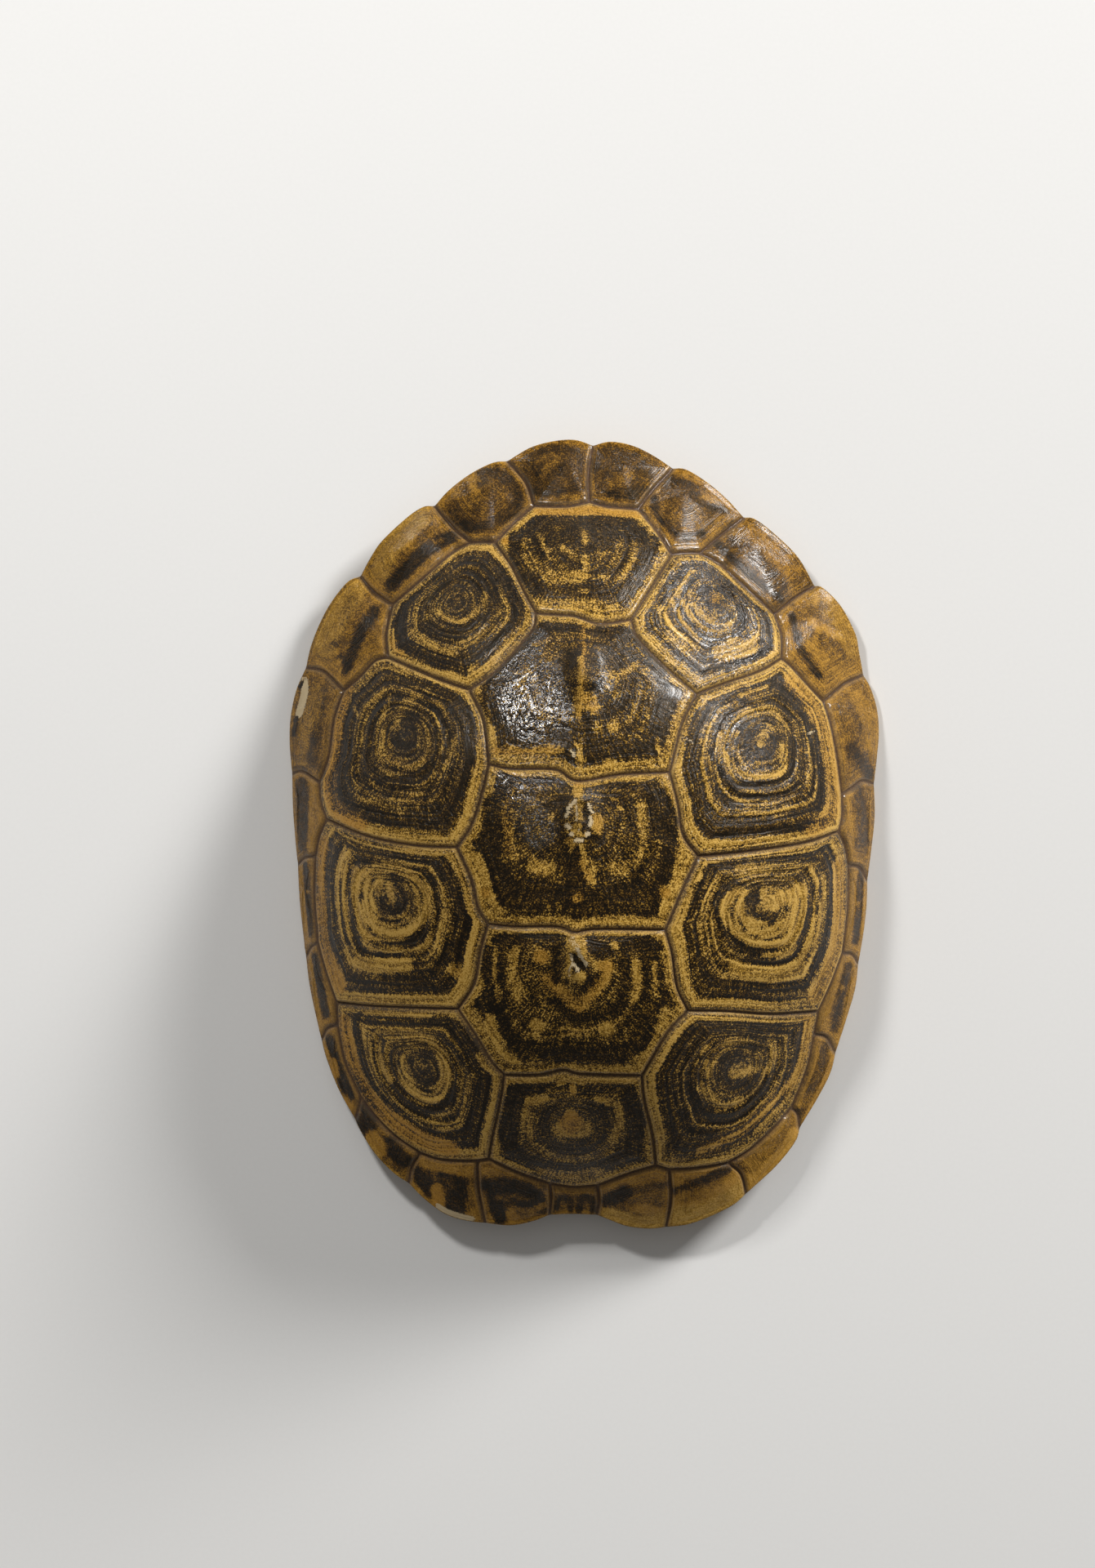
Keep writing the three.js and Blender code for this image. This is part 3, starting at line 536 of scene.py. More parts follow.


# The strokes of each scute by channel, the later ones over the earlier. Each has its value, its half width,
# the first square of its path, x and y, and the step from each square to the next. A few TONE strokes paint
# highlights and shade, and each of these is marked where it stands.
MARKS: dict[tuple[str, Channel], tuple[tuple[float, ...], ...]] = {
    ("costal_W2", TONE): (
        (0.1, 5, -291, -16, -17, -19, -7, -40, 4, -40, 11, -40, 21, -24),
        (0.62, 2.2, -292, -15, -8, -33, 1, -40, 6, -38, 9, -29), (0.1, 2.5, -295, -48, 0, -40, 6, -38, 8, -24),
        (0.7, 2.4, -283, -16, -8, -25, -1, -34, 4, -37, 9, -31, 7, -10),
        (0.08, 4.5, -284, -82, 3, -28, 6, -27, 10, -10, 24, 0, 21, 4),
        (0.75, 3, -281, -40, 0, -26, 5, -22, 4, -27, 9, -22, 11, -5, 31, 1), (0.8, 6, -277, -45, 1, -22),
        (0.1, 2.8, -268, -70, 3, -32, 6, -21, 7, -10, 35, -1),
        (0.75, 2.6, -269, -83, 2, -24, 7, -16, 11, -4, 29, 1), (0.45, 7, -260, -43, 27, 3, 27, -11),
        (0.12, 19, -229, -80), (0.15, 9, -231, -56), (0.5, 3, -255, -83, 3, -19, 8, -9, 21, 1, 14, 8),
        (0.85, 4.5, -265, -48, 1, -19, 3, -27, 6, -18, 8, -6, 33, 0, 16, 11, 8, 19, -2, 20, -8, 10, -12, 10),
        (0.8, 3, -193, -66, 5, -22, -6, -19), (0.85, 4.5, -249, -58, 0, -14), (0.88, 4.5, -237, -62, 4, -16),
        (0.12, 4.5, -186, -52, 7, -14, 3, -17, -2, -19, -15, -21, -21, -8),
        (0.42, 8, -172, -64, 6, -24, -8, -34, -19, -16, -21, -11),
        (0.09, 8, -168, -40, 12, -30, 7, -40, -13, -29, -14, -30, -9, -17),
        (0.12, 6, -279, -17, 19, -8, 46, -4, 45, -8), (0.2, 13, -200, -157, 18, -6),
        (0.78, 9, -275, -159, 26, -1, 32, 1), (0.07, 10, -291, -174, 36, -5, 41, -3, 30, -3),
        (0.75, 9, -156, -167), (0.72, 8, -320, -12, -4, -36, 2, -40, 2, -41, 9, -26, 13, -30),
        (0.42, 1.8, -328, -48, 3, -67, 10, -40, 9, -27),
    ),
    ("costal_W2", WARM): (
        (0.5, 9, -156, -167), (0.9, 10, -320, -12, -4, -36, 2, -40, 2, -41, 9, -26, 13, -30),
    ),
    ("costal_E2", TONE): (
        (0.09, 8, 141, -65, -9, -36, -1, -22, 8, -23, 13, -24, 18, -16, 27, -7, 51, 1, 26, 12),
        (0.1, 6, 148, -44, 32, 7, 54, 5, 43, 4), (0.42, 8, 191, -45, 69, 4),
        (0.42, 8, 155, -68, -6, -26, 13, -32, 12, -20),
        (0.1, 4.5, 185, -57, -21, -18, -2, -22, 10, -23, 22, -17, 20, -9, 34, -10, 9, 19),
        (0.85, 4.5, 185, -68, -13, -15, -2, -15, 15, -22, 18, -10, 34, -4, 17, 11, 12, 23, 4, 23, -4, 14),
        (0.3, 1.8, 194, -68, -10, -20, 10, -23, 17, -15, 26, -1, 14, 10, 10, 29),
        (0.82, 4, 194, -71, -4, -17, 8, -20, 13, -12, 26, 0, 13, 12, 6, 20, 1, 23),
        (0.11, 8, 210, -65, -6, -20, 7, -15, 23, -1), (0.08, 4, 247, -91), (0.9, 7, 224, -83, 19, 6, 17, 6),
        (0.85, 4, 220, -80, -3, 10), (0.7, 3, 231, -90), (0.75, 3.5, 200, -106, 28, -7, 15, 6),
        (0.1, 4.5, 276, -65, -2, -29, -4, -20, -10, -26, -12, -17, -28, 0, -23, 6),
        (0.75, 2.6, 217, -147, 29, 0, 11, 13), (0.55, 2.2, 277, -37, 6, -28, -3, -35),
        (0.75, 3, 280, -100, -6, -30, -10, -23, -16, -10), (0.15, 2.2, 286, -65, -2, -35, -5, -37, -9, -20),
        (0.75, 2.4, 292, -51, -2, -37, -4, -29, -9, -29, -7, -17), (0.82, 9, 185, -160, 20, -9, 29, -1, 30, 4),
        (0.5, 5, 170, -167), (0.15, 2.2, 170, -167), (0.08, 8, 299, -31, 4, -34, -1, -36, -9, -36, -10, -33),
        (0.78, 8, 312, -37, 1, -57, -7, -43, -10, -36, -15, -26), (0.45, 2, 320, -51, -1, -57, -13, -58),
    ),
    ("costal_E2", WARM): ((0.65, 9, 312, -37, 1, -57, -7, -43, -10, -36, -15, -26),),
    ("costal_W3", TONE): (
        (0.08, 7, -255, 183, 21, 6, 29, -4, 28, -9, 26, -16, 13, -30, -1, -37, -9, -27, -11, -25, -23, -18, -23,
            -8, -35, 3, -33, 8, -18, 15, -5, 25, 6, 28, 4, 36, 8, 29, 15, 17),
        (0.55, 2.5, -258, 159, -10, -29, -6, -28, -3, -29, 1, -26, 16, -6, 26, 2, 29, 1),
        (0.6, 2.2, -243, 176, -14, -20, -7, -23, -6, -20), (0.1, 5, -257, 130, -7, -28, -1, -22, 5, -16, 20, 0),
        (0.08, 4.5, -255, 67, 35, -3, 23, 0), (0.65, 3, -260, 70, 7, -13, 18, 3, 15, -9, 23, 8, 20, 10),
        (0.5, 6, -240, 116, 3, -20, 15, -9, 14, 6, 14, 17, 7, 20, -4, 17, -20, 9, -20, -11),
        (0.1, 10, -210, 142, -7, -20, 3, -18), (0.12, 5, -235, 117, 7, -11), (0.78, 3.5, -227, 137, 0, -15),
        (0.72, 3.5, -235, 168, -9, -23, -4, -29, 1, -29, 10, -10, 17, -3, 18, 5, 17, 14, 10, 23, -2, 21, -8, 19,
            -14, 9, -21, -3), (0.1, 2.6, -194, 168, 17, -21, 6, -22, -8, -26, -18, -23, -23, -7),
        (0.65, 2.6, -220, 179, 23, -3, 18, -13, 11, -18, 2, -20, -9, -26, -16, -20, -14, -12),
        (0.12, 2.6, -177, 168, 15, -35, -6, -29, -17, -25),
        (0.6, 3.5, -191, 176, 20, -20, 12, -20, 4, -14, -7, -29, -15, -20, -20, -20, -20, -10, -26, 0),
        (0.75, 4, -154, 119, -5, -26),
        (0.68, 8, -291, 180, -10, -35, -2, -36, -6, -36, 2, -29, 10, -18, 24, -12), (0.6, 5, -224, 35),
        (0.85, 3, -224, 24), (0.75, 1.8, -284, 162, 8, -17),
    ),
    ("costal_W3", WARM): (
        (0.4, 5, -240, 116, 3, -20, 15, -9),
        (0.95, 10, -291, 180, -10, -35, -2, -36, -6, -36, 2, -29, 10, -18, 24, -12),
    ),
    ("costal_W3", WORN): ((0.6, 3, -224, 24), (0.35, 3, -224, 36),),
    ("costal_E3", TONE): (
        (0.08, 8, 143, 147, -9, -20, -5, -25, 0, -36, 13, -29, 13, -22, 25, -8, 49, 1, 40, 7, 19, 22, 4, 29, -3,
            28, -11, 33, -13, 25, -17, 21, -15, 12), (0.12, 4, 147, 153, 33, 15, 20, -9),
        # The pale line from square (189, 169) is a ridge that is brightened by a painted highlight.
        (0.75, 3, 189, 169, 34, 11), (0.65, 4.5, 152, 133, -5, -23, 5, -17, 10, -27, 18, -19),
        (0.08, 5, 155, 102, 14, -25, 14, -20, 17, -11, 29, -2, 17, 6, 9, 9),
        (0.7, 2.2, 156, 110, 10, -23, 14, -17, 12, -10), (0.1, 4, 252, 116, -1, -29, -8, -21, -28, -5, -23, 2),
        (0.42, 7, 180, 110, 9, -14, 11, -13, 23, 1, 15, 12),
        (0.1, 9, 195, 127, -3, -14, 11, -14, 20, 3, 12, 14),
        (0.65, 6, 189, 139, 3, 6, 14, 4, 17, 3, 15, -7, 5, -15), (0.6, 6, 229, 135, 12, -5),
        (0.85, 4.5, 165, 122, 1, -18, 14, -21, 13, -12, 22, -1, 20, 4, 8, 13, -2, 20),
        (0.7, 2.4, 183, 104, 9, -17, 14, -7), (0.88, 6, 218, 122, -3, -9), (0.6, 4, 175, 119, 11, 3),
        (0.45, 2.6, 192, 53, 31, -2, 26, 6, 10, 16, -1, 20),
        (0.68, 4, 180, 47, 20, -10, 29, 0, 29, 6, 14, 7, 3, 23), (0.62, 8, 192, 33, 17, -6, 34, 3),
        (0.45, 2.6, 266, 130, 6, -28, 6, -36, -6, -25), (0.45, 3, 265, 102),
        (0.78, 9, 251, 188, 21, -22, 20, -36, 9, -36, 4, -35, -4, -32, -22, -23),
    ),
    ("costal_E3", WARM): (
        (0.9, 3, 265, 102), (0.65, 10, 251, 188, 21, -22, 20, -36, 9, -36, 4, -35, -4, -32, -22, -23),
    ),
    ("costal_E3", WORN): ((0.7, 1.6, 119, 119, 13, -7), (0.7, 2, 272, 122, 10, 3),),
    ("costal_E3", GLOSS): ((0.7, 45, 190, 107),),
    ("costal_W4", TONE): (
        (0.07, 7, -216, 279, -8, -14, -3, -12, 11, -24, 16, -13, 33, -9, 36, 13, 36, 28, 16, 24, -11, 29, -14,
            23, -20, 12, -14, -1), (0.3, 9, -138, 328, -34, -19, -22, -20, -12, -17),
        (0.62, 6, -207, 265, 0, -22, 18, -12, 27, -6, 26, 11, 22, 12, 17, 12, 0, 22),
        (0.8, 4, -208, 248, 8, -10, 18, -8), (0.12, 5, -192, 253, 30, -5, 19, 2, 19, 10, 17, 19, 0, 20),
        (0.13, 13, -172, 306, 17, 15, 24, 4, 13, -19), (0.22, 9, -158, 296),
        (0.75, 3.6, -176, 272, 15, -11, 20, -1, 17, 18, 5, 14), (0.3, 2, -167, 270, 12, -4, 14, 3, 10, 10),
        (0.6, 2.2, -103, 301, 4, -22, -8, -14), (0.8, 8, -133, 199), (0.7, 4, -235, 248, 2, -19, 12, -11),
        (0.5, 2, -157, 229),
    ),
    ("costal_W4", WARM): ((0.45, 12, -158, 296), (0.7, 6, -225, 221, -8, 15),),
    ("costal_W4", WORN): ((0.6, 2, -157, 229),),
    ("costal_E4", TONE): (
        (0.12, 8, 144, 325, 28, -22, 23, -25), (0.1, 6, 221, 265, 4, -18, -4, -18), (0.12, 7, 81, 268, 0, -17),
        (0.12, 6, 92, 286, 6, 10, 13, 19), (0.15, 9, 127, 219, 20, -6, 31, -7, 10, 8),
        (0.4, 8, 104, 242, 25, -18), (0.12, 10, 160, 280, -11, 16), (0.62, 7, 160, 288),
        # The pale line from square (116, 300) is a ridge that is brightened by a painted highlight.
        (0.3, 6, 147, 268, 18, 0, 7, 10), (0.85, 3.4, 116, 300, 0, -14, 28, -34, 21, -5, 13, 8),
        (0.8, 2.6, 133, 280, 14, -17, 13, -3), (0.2, 2.6, 111, 286, 16, -26, 15, -15, 23, -5),
        # The pale line from square (106, 286) is a ridge that is brightened by a painted highlight.
        (0.75, 3, 106, 286, 15, -28, 18, -23), (0.1, 6, 190, 278, 3, -20, -8, -16), (0.12, 4, 149, 237, 16, -5),
        # The bright band from square (165, 222) is ochre horn that is brightened by a painted highlight.
        (0.7, 5, 207, 245, 1, -10, -30, 0), (0.82, 9, 165, 222, 18, 2, 20, 4),
        (0.6, 4, 92, 275, 12, -20, 17, -17), (0.15, 4, 105, 265),
    ),
    ("costal_E4", WARM): ((0.7, 7, 160, 288),),
    ("costal_E4", GLOSS): ((1, 35, 135, 302, 60, -70),),
    ("costal_W1", TONE): (
        (0.08, 7, -121, -298, -7, -31, -19, -37, -25, -5, -22, 9, -31, 19, -28, 28, -20, 39, -6, 46, 23, 5, 53,
            -3, 42, -2, 26, -32), (0.5, 2, -272, -231, 13, -51, 10, -28, 32, -28, 20, -17),
        (0.25, 10, -154, -262, 13, -28, -6, -34), (0.5, 7, -168, -335, -15, -15, 14, -9),
        (0.1, 5, -232, -270, 1, -31, 14, -23, 23, -14, 25, 12, 10, 16),
        (0.75, 4.5, -252, -244, 4, -35, 12, -21), (0.2, 1.8, -246, -248, 4, -28, 7, -17),
        (0.66, 6, -239, -246, 31, 2, 26, -12, 13, -14), (0.3, 6, -231, -268, 14, 9, 23, 0),
        (0.6, 7, -218, -276, 1, -17, 6, -14), (0.75, 6, -211, -312, 22, -13, 16, 13, 5, 22, -5, 22),
        (0.1, 10, -193, -293), (0.12, 8, -194, -270), (0.55, 3, -196, -282),
        (0.6, 9, -293, -231, 13, -62, 18, -31, 31, -28, 35, -21, 35, -11),
        (0.8, 2.2, -288, -238, 11, -44, 18, -33, 34, -37, 31, -18, 33, -10),
        (0.4, 2, -287, -282, 18, -36, 33, -34), (0.82, 4, -266, -218, 77, -2),
    ),
    ("costal_W1", WARM): ((0.95, 11, -297, -231, 17, -62, 18, -31, 31, -28, 35, -21, 35, -11),),
    ("costal_E1", TONE): (
        (0.08, 7, 100, -301, 6, -31, 11, -36, 23, -11, 32, 7, 34, 20, 35, 37, 15, 32, 2, 40, -49, 6, -57, 0,
            -23, -9, -20, -29), (0.45, 2, 254, -235, -8, -54, -37, -52, -43, -26),
        (0.5, 4.5, 113, -295, 4, -26, 20, -25, 23, -15, 29, 7, 34, 29, 12, 22),
        (0.1, 6, 137, -303, 3, -18, 20, -25, 29, 5, 20, 20, 12, 18), (0.65, 5, 147, -263, 32, 10, 16, 1),
        (0.7, 4.5, 228, -249, 3, -23, -13, -23, -12, -14), (0.25, 1.8, 222, -258, 3, -17, -13, -20),
        (0.72, 6.5, 143, -309, 12, -15, 17, -10, 20, 9), (0.82, 3.2, 149, -278, 0, -17),
        (0.75, 2.6, 160, -278, -3, -5), (0.1, 7, 169, -295, 11, -14, 23, 6, 6, 7),
        (0.12, 8, 188, -268, -16, -15), (0.12, 4, 206, -269), (0.82, 7, 186, -288, 13, 0), (0.75, 4, 209, -288),
        (0.85, 4, 274, -225, -7, -50, -22, -37, -50, -49, -55, -27), (0.5, 2, 284, -260, -17, -43, -58, -61),
    ),
    ("costal_E1", WARM): ((0.6, 9, 274, -225, -7, -50, -22, -37, -50, -49, -55, -27),),
    ("vertebral_4", TONE): (
        (0.34, 10, -46, 141, -31, 27, 4, 35, 35, 27), (0.1, 8, 104, 168, -16, 41, -29, 33, -43, 6),
        (0.1, 9, -50, 250, -31, -27, -23, -32, -14, -23, 21, -39, 35, -8, 41, 0),
        (0.09, 10, 5, 106, 54, -4, 25, 4, 14, 39, 12, 23), (0.45, 6, 75, 199, 3, -19, -23, -43),
        (0.6, 5, 40, 191, 25, 16), (0.2, 8, 20, 226, 29, 4), (0.35, 6, 20, 199, 20, -31),
        # The dark stroke from square (-31, 195) up to the knob is painted shade on the knob's left flank.
        (0.62, 3, -42, 238, -20, -8), (0.6, 4, -67, 199, -14, -15), (0.12, 6, -31, 195, 12, 8, 4, 12),
        (0.75, 8, 8, 162), (0.12, 5, 1, 143, 31, 10, 27, 15), (0.75, 8, 36, 130), (0.65, 7, 14, 129),
        (0.1, 8, 12, 114, 24, -4), (0.62, 7, -108, 102, 35, -4, 39, 4), (0.5, 3, -1, 254, 2, -35),
        # The pale stroke from square (-5, 213) is the ochre keel tip with a painted highlight on the knob's
        # apex.
        (0.85, 4, -5, 213, 4, -18), (0.7, 3, -10, 168, 0, -12, 5, -15), (0.8, 4, -5, 108, 0, -26),
        (0.7, 4, 26, 84, 14, -2), (0.8, 3, 88, 116, 2, -14), (0.72, 4, -3, 210, -1, -18, -1, -25, -1, -25),
        # The black stroke from square (-9, 219) is a painted shadow beside the knob's tip.
        (0.75, 8, 4, 164, 7, -10), (0.04, 4, -9, 219, -6, -9, -16, -18), (0.7, 4, 37, 136, -2, -8),
        (0.6, 5, 32, 196, 5, -6), (0.72, 3, -4, 114, 2, -27), (0.05, 5, 6, 134, 1, -38),
        (0.65, 5, 29, 88, 12, -6),
    ),
    ("vertebral_4", WARM): (
        (0.7, 8, 8, 162), (0.6, 6, -108, 102, 74, 0), (0.6, 4, -1, 254, 2, -35),
        (0.5, 5, -2, 210, -4, -43, -1, -25), (0.6, 8, 4, 164, 7, -10),
    ),
    ("vertebral_4", WORN): ((0.4, 3, -12, 98), (0.75, 3.4, -14, 101, 2, -7),),
    ("vertebral_4", GLOSS): (
        (1, 26, -75, 222, -15, -50, 25, -40), (1, 11, 9, 196, 14, -12), (1, 16, -47, 200, 12, -28, 8, -30),
        (1, 12, -73, 226, 20, 13),
    ),
    ("vertebral_4", LIFT): ((-0.4, 4, -14, 214, -11, -20), (0.5, 3, -3, 207, -3, -55),),
    ("vertebral_5", TONE): (
        (0.13, 16, -52, 368, 39, 3, 31, 3, 45, -9), (0.16, 14, -23, 358, 41, 0),
        (0.82, 6, -56, 396, 30, -1, 29, 1, 31, -1, 31, -3), (0.8, 5, -96, 358),
        (0.8, 3, -99, 369, 22, 12, 19, 12), (0.75, 3, 70, 390, 19, -22, 9, -19),
        (0.45, 8, -72, 355, 8, -22, 19, -13), (0.5, 4, -55, 365, 8, -16, 8, -13),
        (0.55, 4, -26, 349, 11, -7, 11, -4), (0.55, 3.5, 12, 338, 19, 4), (0.55, 2.5, 34, 333, 7, 12, 3, 13),
        (0.48, 5, 60, 353, -2, -20, -11, -18, -22, -3), (0.56, 8, -45, 314, 25, -2, 23, 0),
        (0.68, 4, 3, 333, 0, -23), (0.7, 3, 1, 368, 0, -13), (0.72, 3, 1, 339, -2, -6),
        (0.1, 8, -58, 304, 22, -10), (0.1, 6, -33, 298, 26, -1),
        (0.12, 9, 6, 302, 22, -8, 26, 4, 16, 25, 11, 26, 4, 9), (0.1, 6, -85, 365, -2, -23, 13, -25, 16, -23),
        (0.55, 3, -4, 296, 7, 0), (0.62, 8, -48, 282, 44, -3, 42, -4),
    ),
    ("vertebral_5", WARM): ((0.85, 6, -56, 396, 30, -1, 29, 1, 31, -1, 31, -3), (0.9, 5, -96, 358),),
    ("vertebral_1", TONE): (
        (0.09, 9, -86, -315, -7, -25, -3, -29, 10, -18, 29, -17, 38, -5, 33, 2, 32, 15, 19, 23, -1, 29, -9, 27),
        (0.12, 7, -86, -312, 44, 3), (0.12, 6, 2, -310, 44, 0), (0.25, 8, -39, -316, 12, -6, 23, 0),
        (0.35, 5, -57, -381, 30, -14, 29, 0, 32, 11),
        (0.12, 7, -48, -340, -3, -20, 15, -21, 23, -4, 27, 7, 14, 21, -5, 17, -12, 12), (0.62, 13, -14, -354),
        (0.72, 8, -16, -343), (0.5, 11, -27, -360, 26, 0), (0.48, 6, -71, -337, 1, -17, 5, -15),
        (0.6, 5, -68, -326, 20, 4), (0.54, 5, 17, -323, 19, -5, 7, -12, -1, -20, -6, -15),
        (0.75, 3, -14, -306, 1, -10), (0.85, 3, -30, -303, 14, 3, 15, -4), (0.38, 7, -57, -414, 38, -5, 36, 5),
        (0.9, 3, -92, -301, 50, 1), (0.9, 3, 5, -300, 56, -1),
    ),
    ("vertebral_1", WARM): ((0.9, 14, -16, -351), (0.6, 3, -14, -306, 1, -10), (0.35, 5, -36, -419, 47, 0),),
    ("vertebral_2", TONE): (
        (0.75, 2, -108, -118, 70, -1), (0.1, 7, -107, -130, 42, 2, 32, -4), (0.1, 7, 9, -138, 36, 2, 45, 0),
        (0.75, 5, 37, -135), (0.1, 6, -117, -140, -2, -28, 8, -32), (0.5, 3, -107, -140, -2, -28, 6, -31),
        (0.12, 3.5, -100, -140, -1, -28, 6, -35), (0.52, 7, -85, -144, -2, -26, 6, -29),
        (0.25, 12, -59, -178, 4, -30), (0.58, 9, -52, -149), (0.6, 9, 27, -161), (0.08, 5, -34, -156, 0, -24),
        (0.08, 6, 7, -178, -6, -15), (0.55, 13, -9, -136, 0, -32), (0.12, 4.5, -14, -150, 10, -8, -5, -6),
        (0.85, 4, -3, -171), (0.48, 7, -45, -176, 20, -18, 18, -16), (0.5, 7, 25, -174, -16, -20, -16, -16),
        (0.12, 6, 48, -150, 1, -28, -6, -30), (0.55, 5, 64, -156, 1, -22, -4, -21),
        (0.12, 4, 75, -156, 2, -22, -6, -22), (0.6, 2.4, 86, -156, 1, -37), (0.12, 4, 94, -168, -3, -25),
        (0.07, 6, -37, -204, 22, -16, 8, -4, 12, 3, 44, 15), (0.56, 11, -58, -235), (0.58, 11, 27, -237),
        (0.4, 6, -25, -240, 32, 0), (0.08, 11, -95, -248, 30, -16, 60, -4, 50, 2, 28, 16),
        (0.08, 8, -103, -218, 10, -22), (0.08, 8, 85, -210, -14, -30), (0.62, 7, -115, -224, 12, -36, 18, -18),
        (0.62, 8, 100, -218, -11, -40, -24, -24), (0.72, 8, -12, -128, 5, -12),
        (0.05, 5, -14, -150, 5, -6, 6, -6), (0.05, 4, -33, -140, -2, -18, -1, -22), (0.82, 5, -6, -172, 2, -5),
        (0.05, 4, 6, -167, -2, -15), (0.05, 6, 11, -130, 11, -10), (0.62, 6, 17, -160, 14, -2),
        (0.7, 3, 61, -156, 1, -24),
    ),
    ("vertebral_2", WARM): (
        (0.8, 10, -52, -149), (0.75, 10, 27, -161), (0.25, 10, -9, -136, 0, -32),
        (0.7, 9, -45, -176, 20, -18, 18, -16), (0.7, 9, 25, -174, -16, -20, -16, -16),
    ),
    ("vertebral_2", WORN): (
        (0.55, 6, -15, -128, 6, -10), (0.95, 2.4, -21, -159, 3, -3, 6, 3, 6, -8, 9, 3, -2, 9, -6, 6, -2, 8),
        (0.8, 2.2, -16, -146, 1, -10), (0.8, 2, -18, -165, 1, -9),
    ),
    ("vertebral_2", LIFT): ((-0.7, 6, -12, -150, 8, -10), (-0.35, 5, -35, -143, -1, -35),),
    ("vertebral_3", TONE): (
        (0.1, 9, -115, 37, 2, -45, 10, -34, 28, -34, 60, -8, 70, 2, 30, 24, 18, 40, 2, 40, -14, 26),
        (0.42, 7, -93, 38, 0, -58), (0.2, 18, -63, 47, 0, -55), (0.75, 4, -39, 21), (0.08, 6, -28, 57, -1, -59),
        (0.78, 6, -8, 62, 1, -12), (0.45, 11, -6, 32, 0, -30), (0.12, 4, 1, 30, 1, -20),
        (0.55, 4, -9, 32, 0, -28), (0.6, 2, -6, 4), (0.55, 9, 18, 15), (0.25, 12, 40, 37, 3, -25),
        (0.6, 3, 35, 42), (0.6, 3, 47, 10), (0.9, 2, 42, 32), (0.55, 6, 70, 34, 1, -34),
        (0.12, 5, 85, 42, 2, -40), (0.4, 8, -75, -22, -20, -6), (0.54, 9, -61, -38, 18, -3),
        (0.54, 8, 37, -41, 10, -1), (0.35, 7, 75, -18, -14, -16), (0.07, 14, -10, -30, 0, -48),
        (0.6, 3.5, -18, -6, 11, -22, 14, -27), (0.45, 8, -8, -77), (0.07, 11, -90, -64, 75, -10, 90, 8),
        (0.75, 7, 98, -71), (0.75, 6, -120, -71), (0.66, 6, -129, -28, 12, -40, 14, -28),
        (0.66, 6, 119, -18, -8, -40, -14, -32), (0.1, 5, -27, 59, -4, -27, 2, -38),
        (0.62, 5, -9, 38, 2, -16, 0, -16), (0.06, 4, 2, 32, 0, -14, -2, -12), (0.3, 4, -16, 32, 2, -16),
        (0.7, 5, 18, 21, -2, -16), (0.9, 2.2, 42, 32), (0.6, 2.6, -15, -10, -1, -12),
        (0.68, 3, -3, -12, 2, -12, 5, -9), (0.06, 4, -9, -18, -1, -58), (0.62, 2.4, 10, -38, 2, -20),
        (0.45, 6, -8, -77),
    ),
    ("vertebral_3", WARM): (
        (0.5, 6, -93, 38, 0, -58), (0.7, 5, -8, 62), (0.6, 9, 18, 15), (0.6, 3.5, -18, -6, 25, -49),
        (0.8, 8, -8, -77), (0.8, 7, 98, -71), (0.8, 6, -120, -71), (0.6, 5, 18, 21, -2, -16),
    ),
    ("vertebral_3", WORN): (
        (0.95, 2.6, -10, 41, -9, -9, -1, -11, 2, -14, 5, -11, 8, -3, 7, 4, 6, 13, 1, 16, -4, 10),
        (0.8, 2.2, -9, 38, 0, -22), (0.8, 2.2, -6, 5),
    ),
    ("vertebral_3", GLOSS): (
        (1, 22, -90, 52, 25, -30, 10, -20), (1, 8, 3, 48), (1, 12, -109, 62, 34, 0, 42, 2),
    ),
    ("vertebral_3", LIFT): ((-0.9, 10, -6, 30, 0, -24), (-0.3, 3, -6, 32, 0, -22),),
    ("marginal_W1", TONE): (
        (0.3, 32, -40, 444), (0.34, 9, -68, 457, 8, -22, 18, -17, 25, 4, 7, 22, -11, 21, -24, 5),
        (0.14, 4, -56, 447, 0, -6), (0.16, 5, -60, 420, 20, -7, 21, 5), (0.52, 11, -40, 455),
        (0.65, 4, -57, 408, 28, 3, 30, 3), (0.78, 3, -90, 459, 30, 15, 28, 8, 33, -4),
    ),
    ("marginal_W1", WARM): ((1, 4, -90, 459, 30, 15, 28, 8, 33, -4),),
    ("marginal_W2", TONE): (
        (0.36, 28, -120, 412),
        (0.22, 8, -161, 403, 9, -19, 17, -9, 19, 4, 26, 15, 10, 15, -10, 20, -15, 12, -19, 1),
        (0.1, 5, -148, 379, 13, -6, 15, 4), (0.42, 12, -124, 414, 17, 4), (0.75, 5, -143, 439, 6, -6, 2, -13),
        (0.62, 5, -174, 401, 20, 24), (0.8, 3, -177, 404, 23, 28, 30, 21, 29, 6),
    ),
    ("marginal_W2", WARM): ((0.9, 3.5, -177, 404, 23, 28, 30, 21, 29, 6),),
    ("marginal_W3", TONE): (
        (0.04, 8, -237, 303, 14, 14, 13, 13, 13, 13, 19, 13, 16, 8), (0.35, 3, -182, 356, 8, 4),
        # The pale stroke from square (-214, 358) is a painted highlight.
        (0.74, 12, -249, 323, 17, 35, 32, 32), (0.9, 6, -214, 358, 6, 13, 11, 10),
        (0.6, 3, -222, 297, 20, 18, 35, 23, 19, 13),
    ),
    ("marginal_W3", WARM): ((0.5, 14, -249, 323, 17, 35, 32, 32),),
    ("marginal_W3", GLOSS): ((1, 10, -215, 366, 15, 15, 18, 9),),
    ("marginal_E1", TONE): (
        (0.3, 32, 43, 442), (0.34, 9, 24, 463, -3, -25, 5, -20, 30, -4, 17, 13, 2, 24),
        (0.1, 4.5, 33, 418, 14, -6, 14, 4), (0.62, 7, 29, 426, 16, 5, 11, 10), (0.38, 10, 39, 457, 19, 0),
        (0.62, 3.5, 17, 410, 24, -4, 24, 0), (0.8, 3.2, 13, 476, 19, 4, 24, -4, 22, -8, 28, -19),
    ),
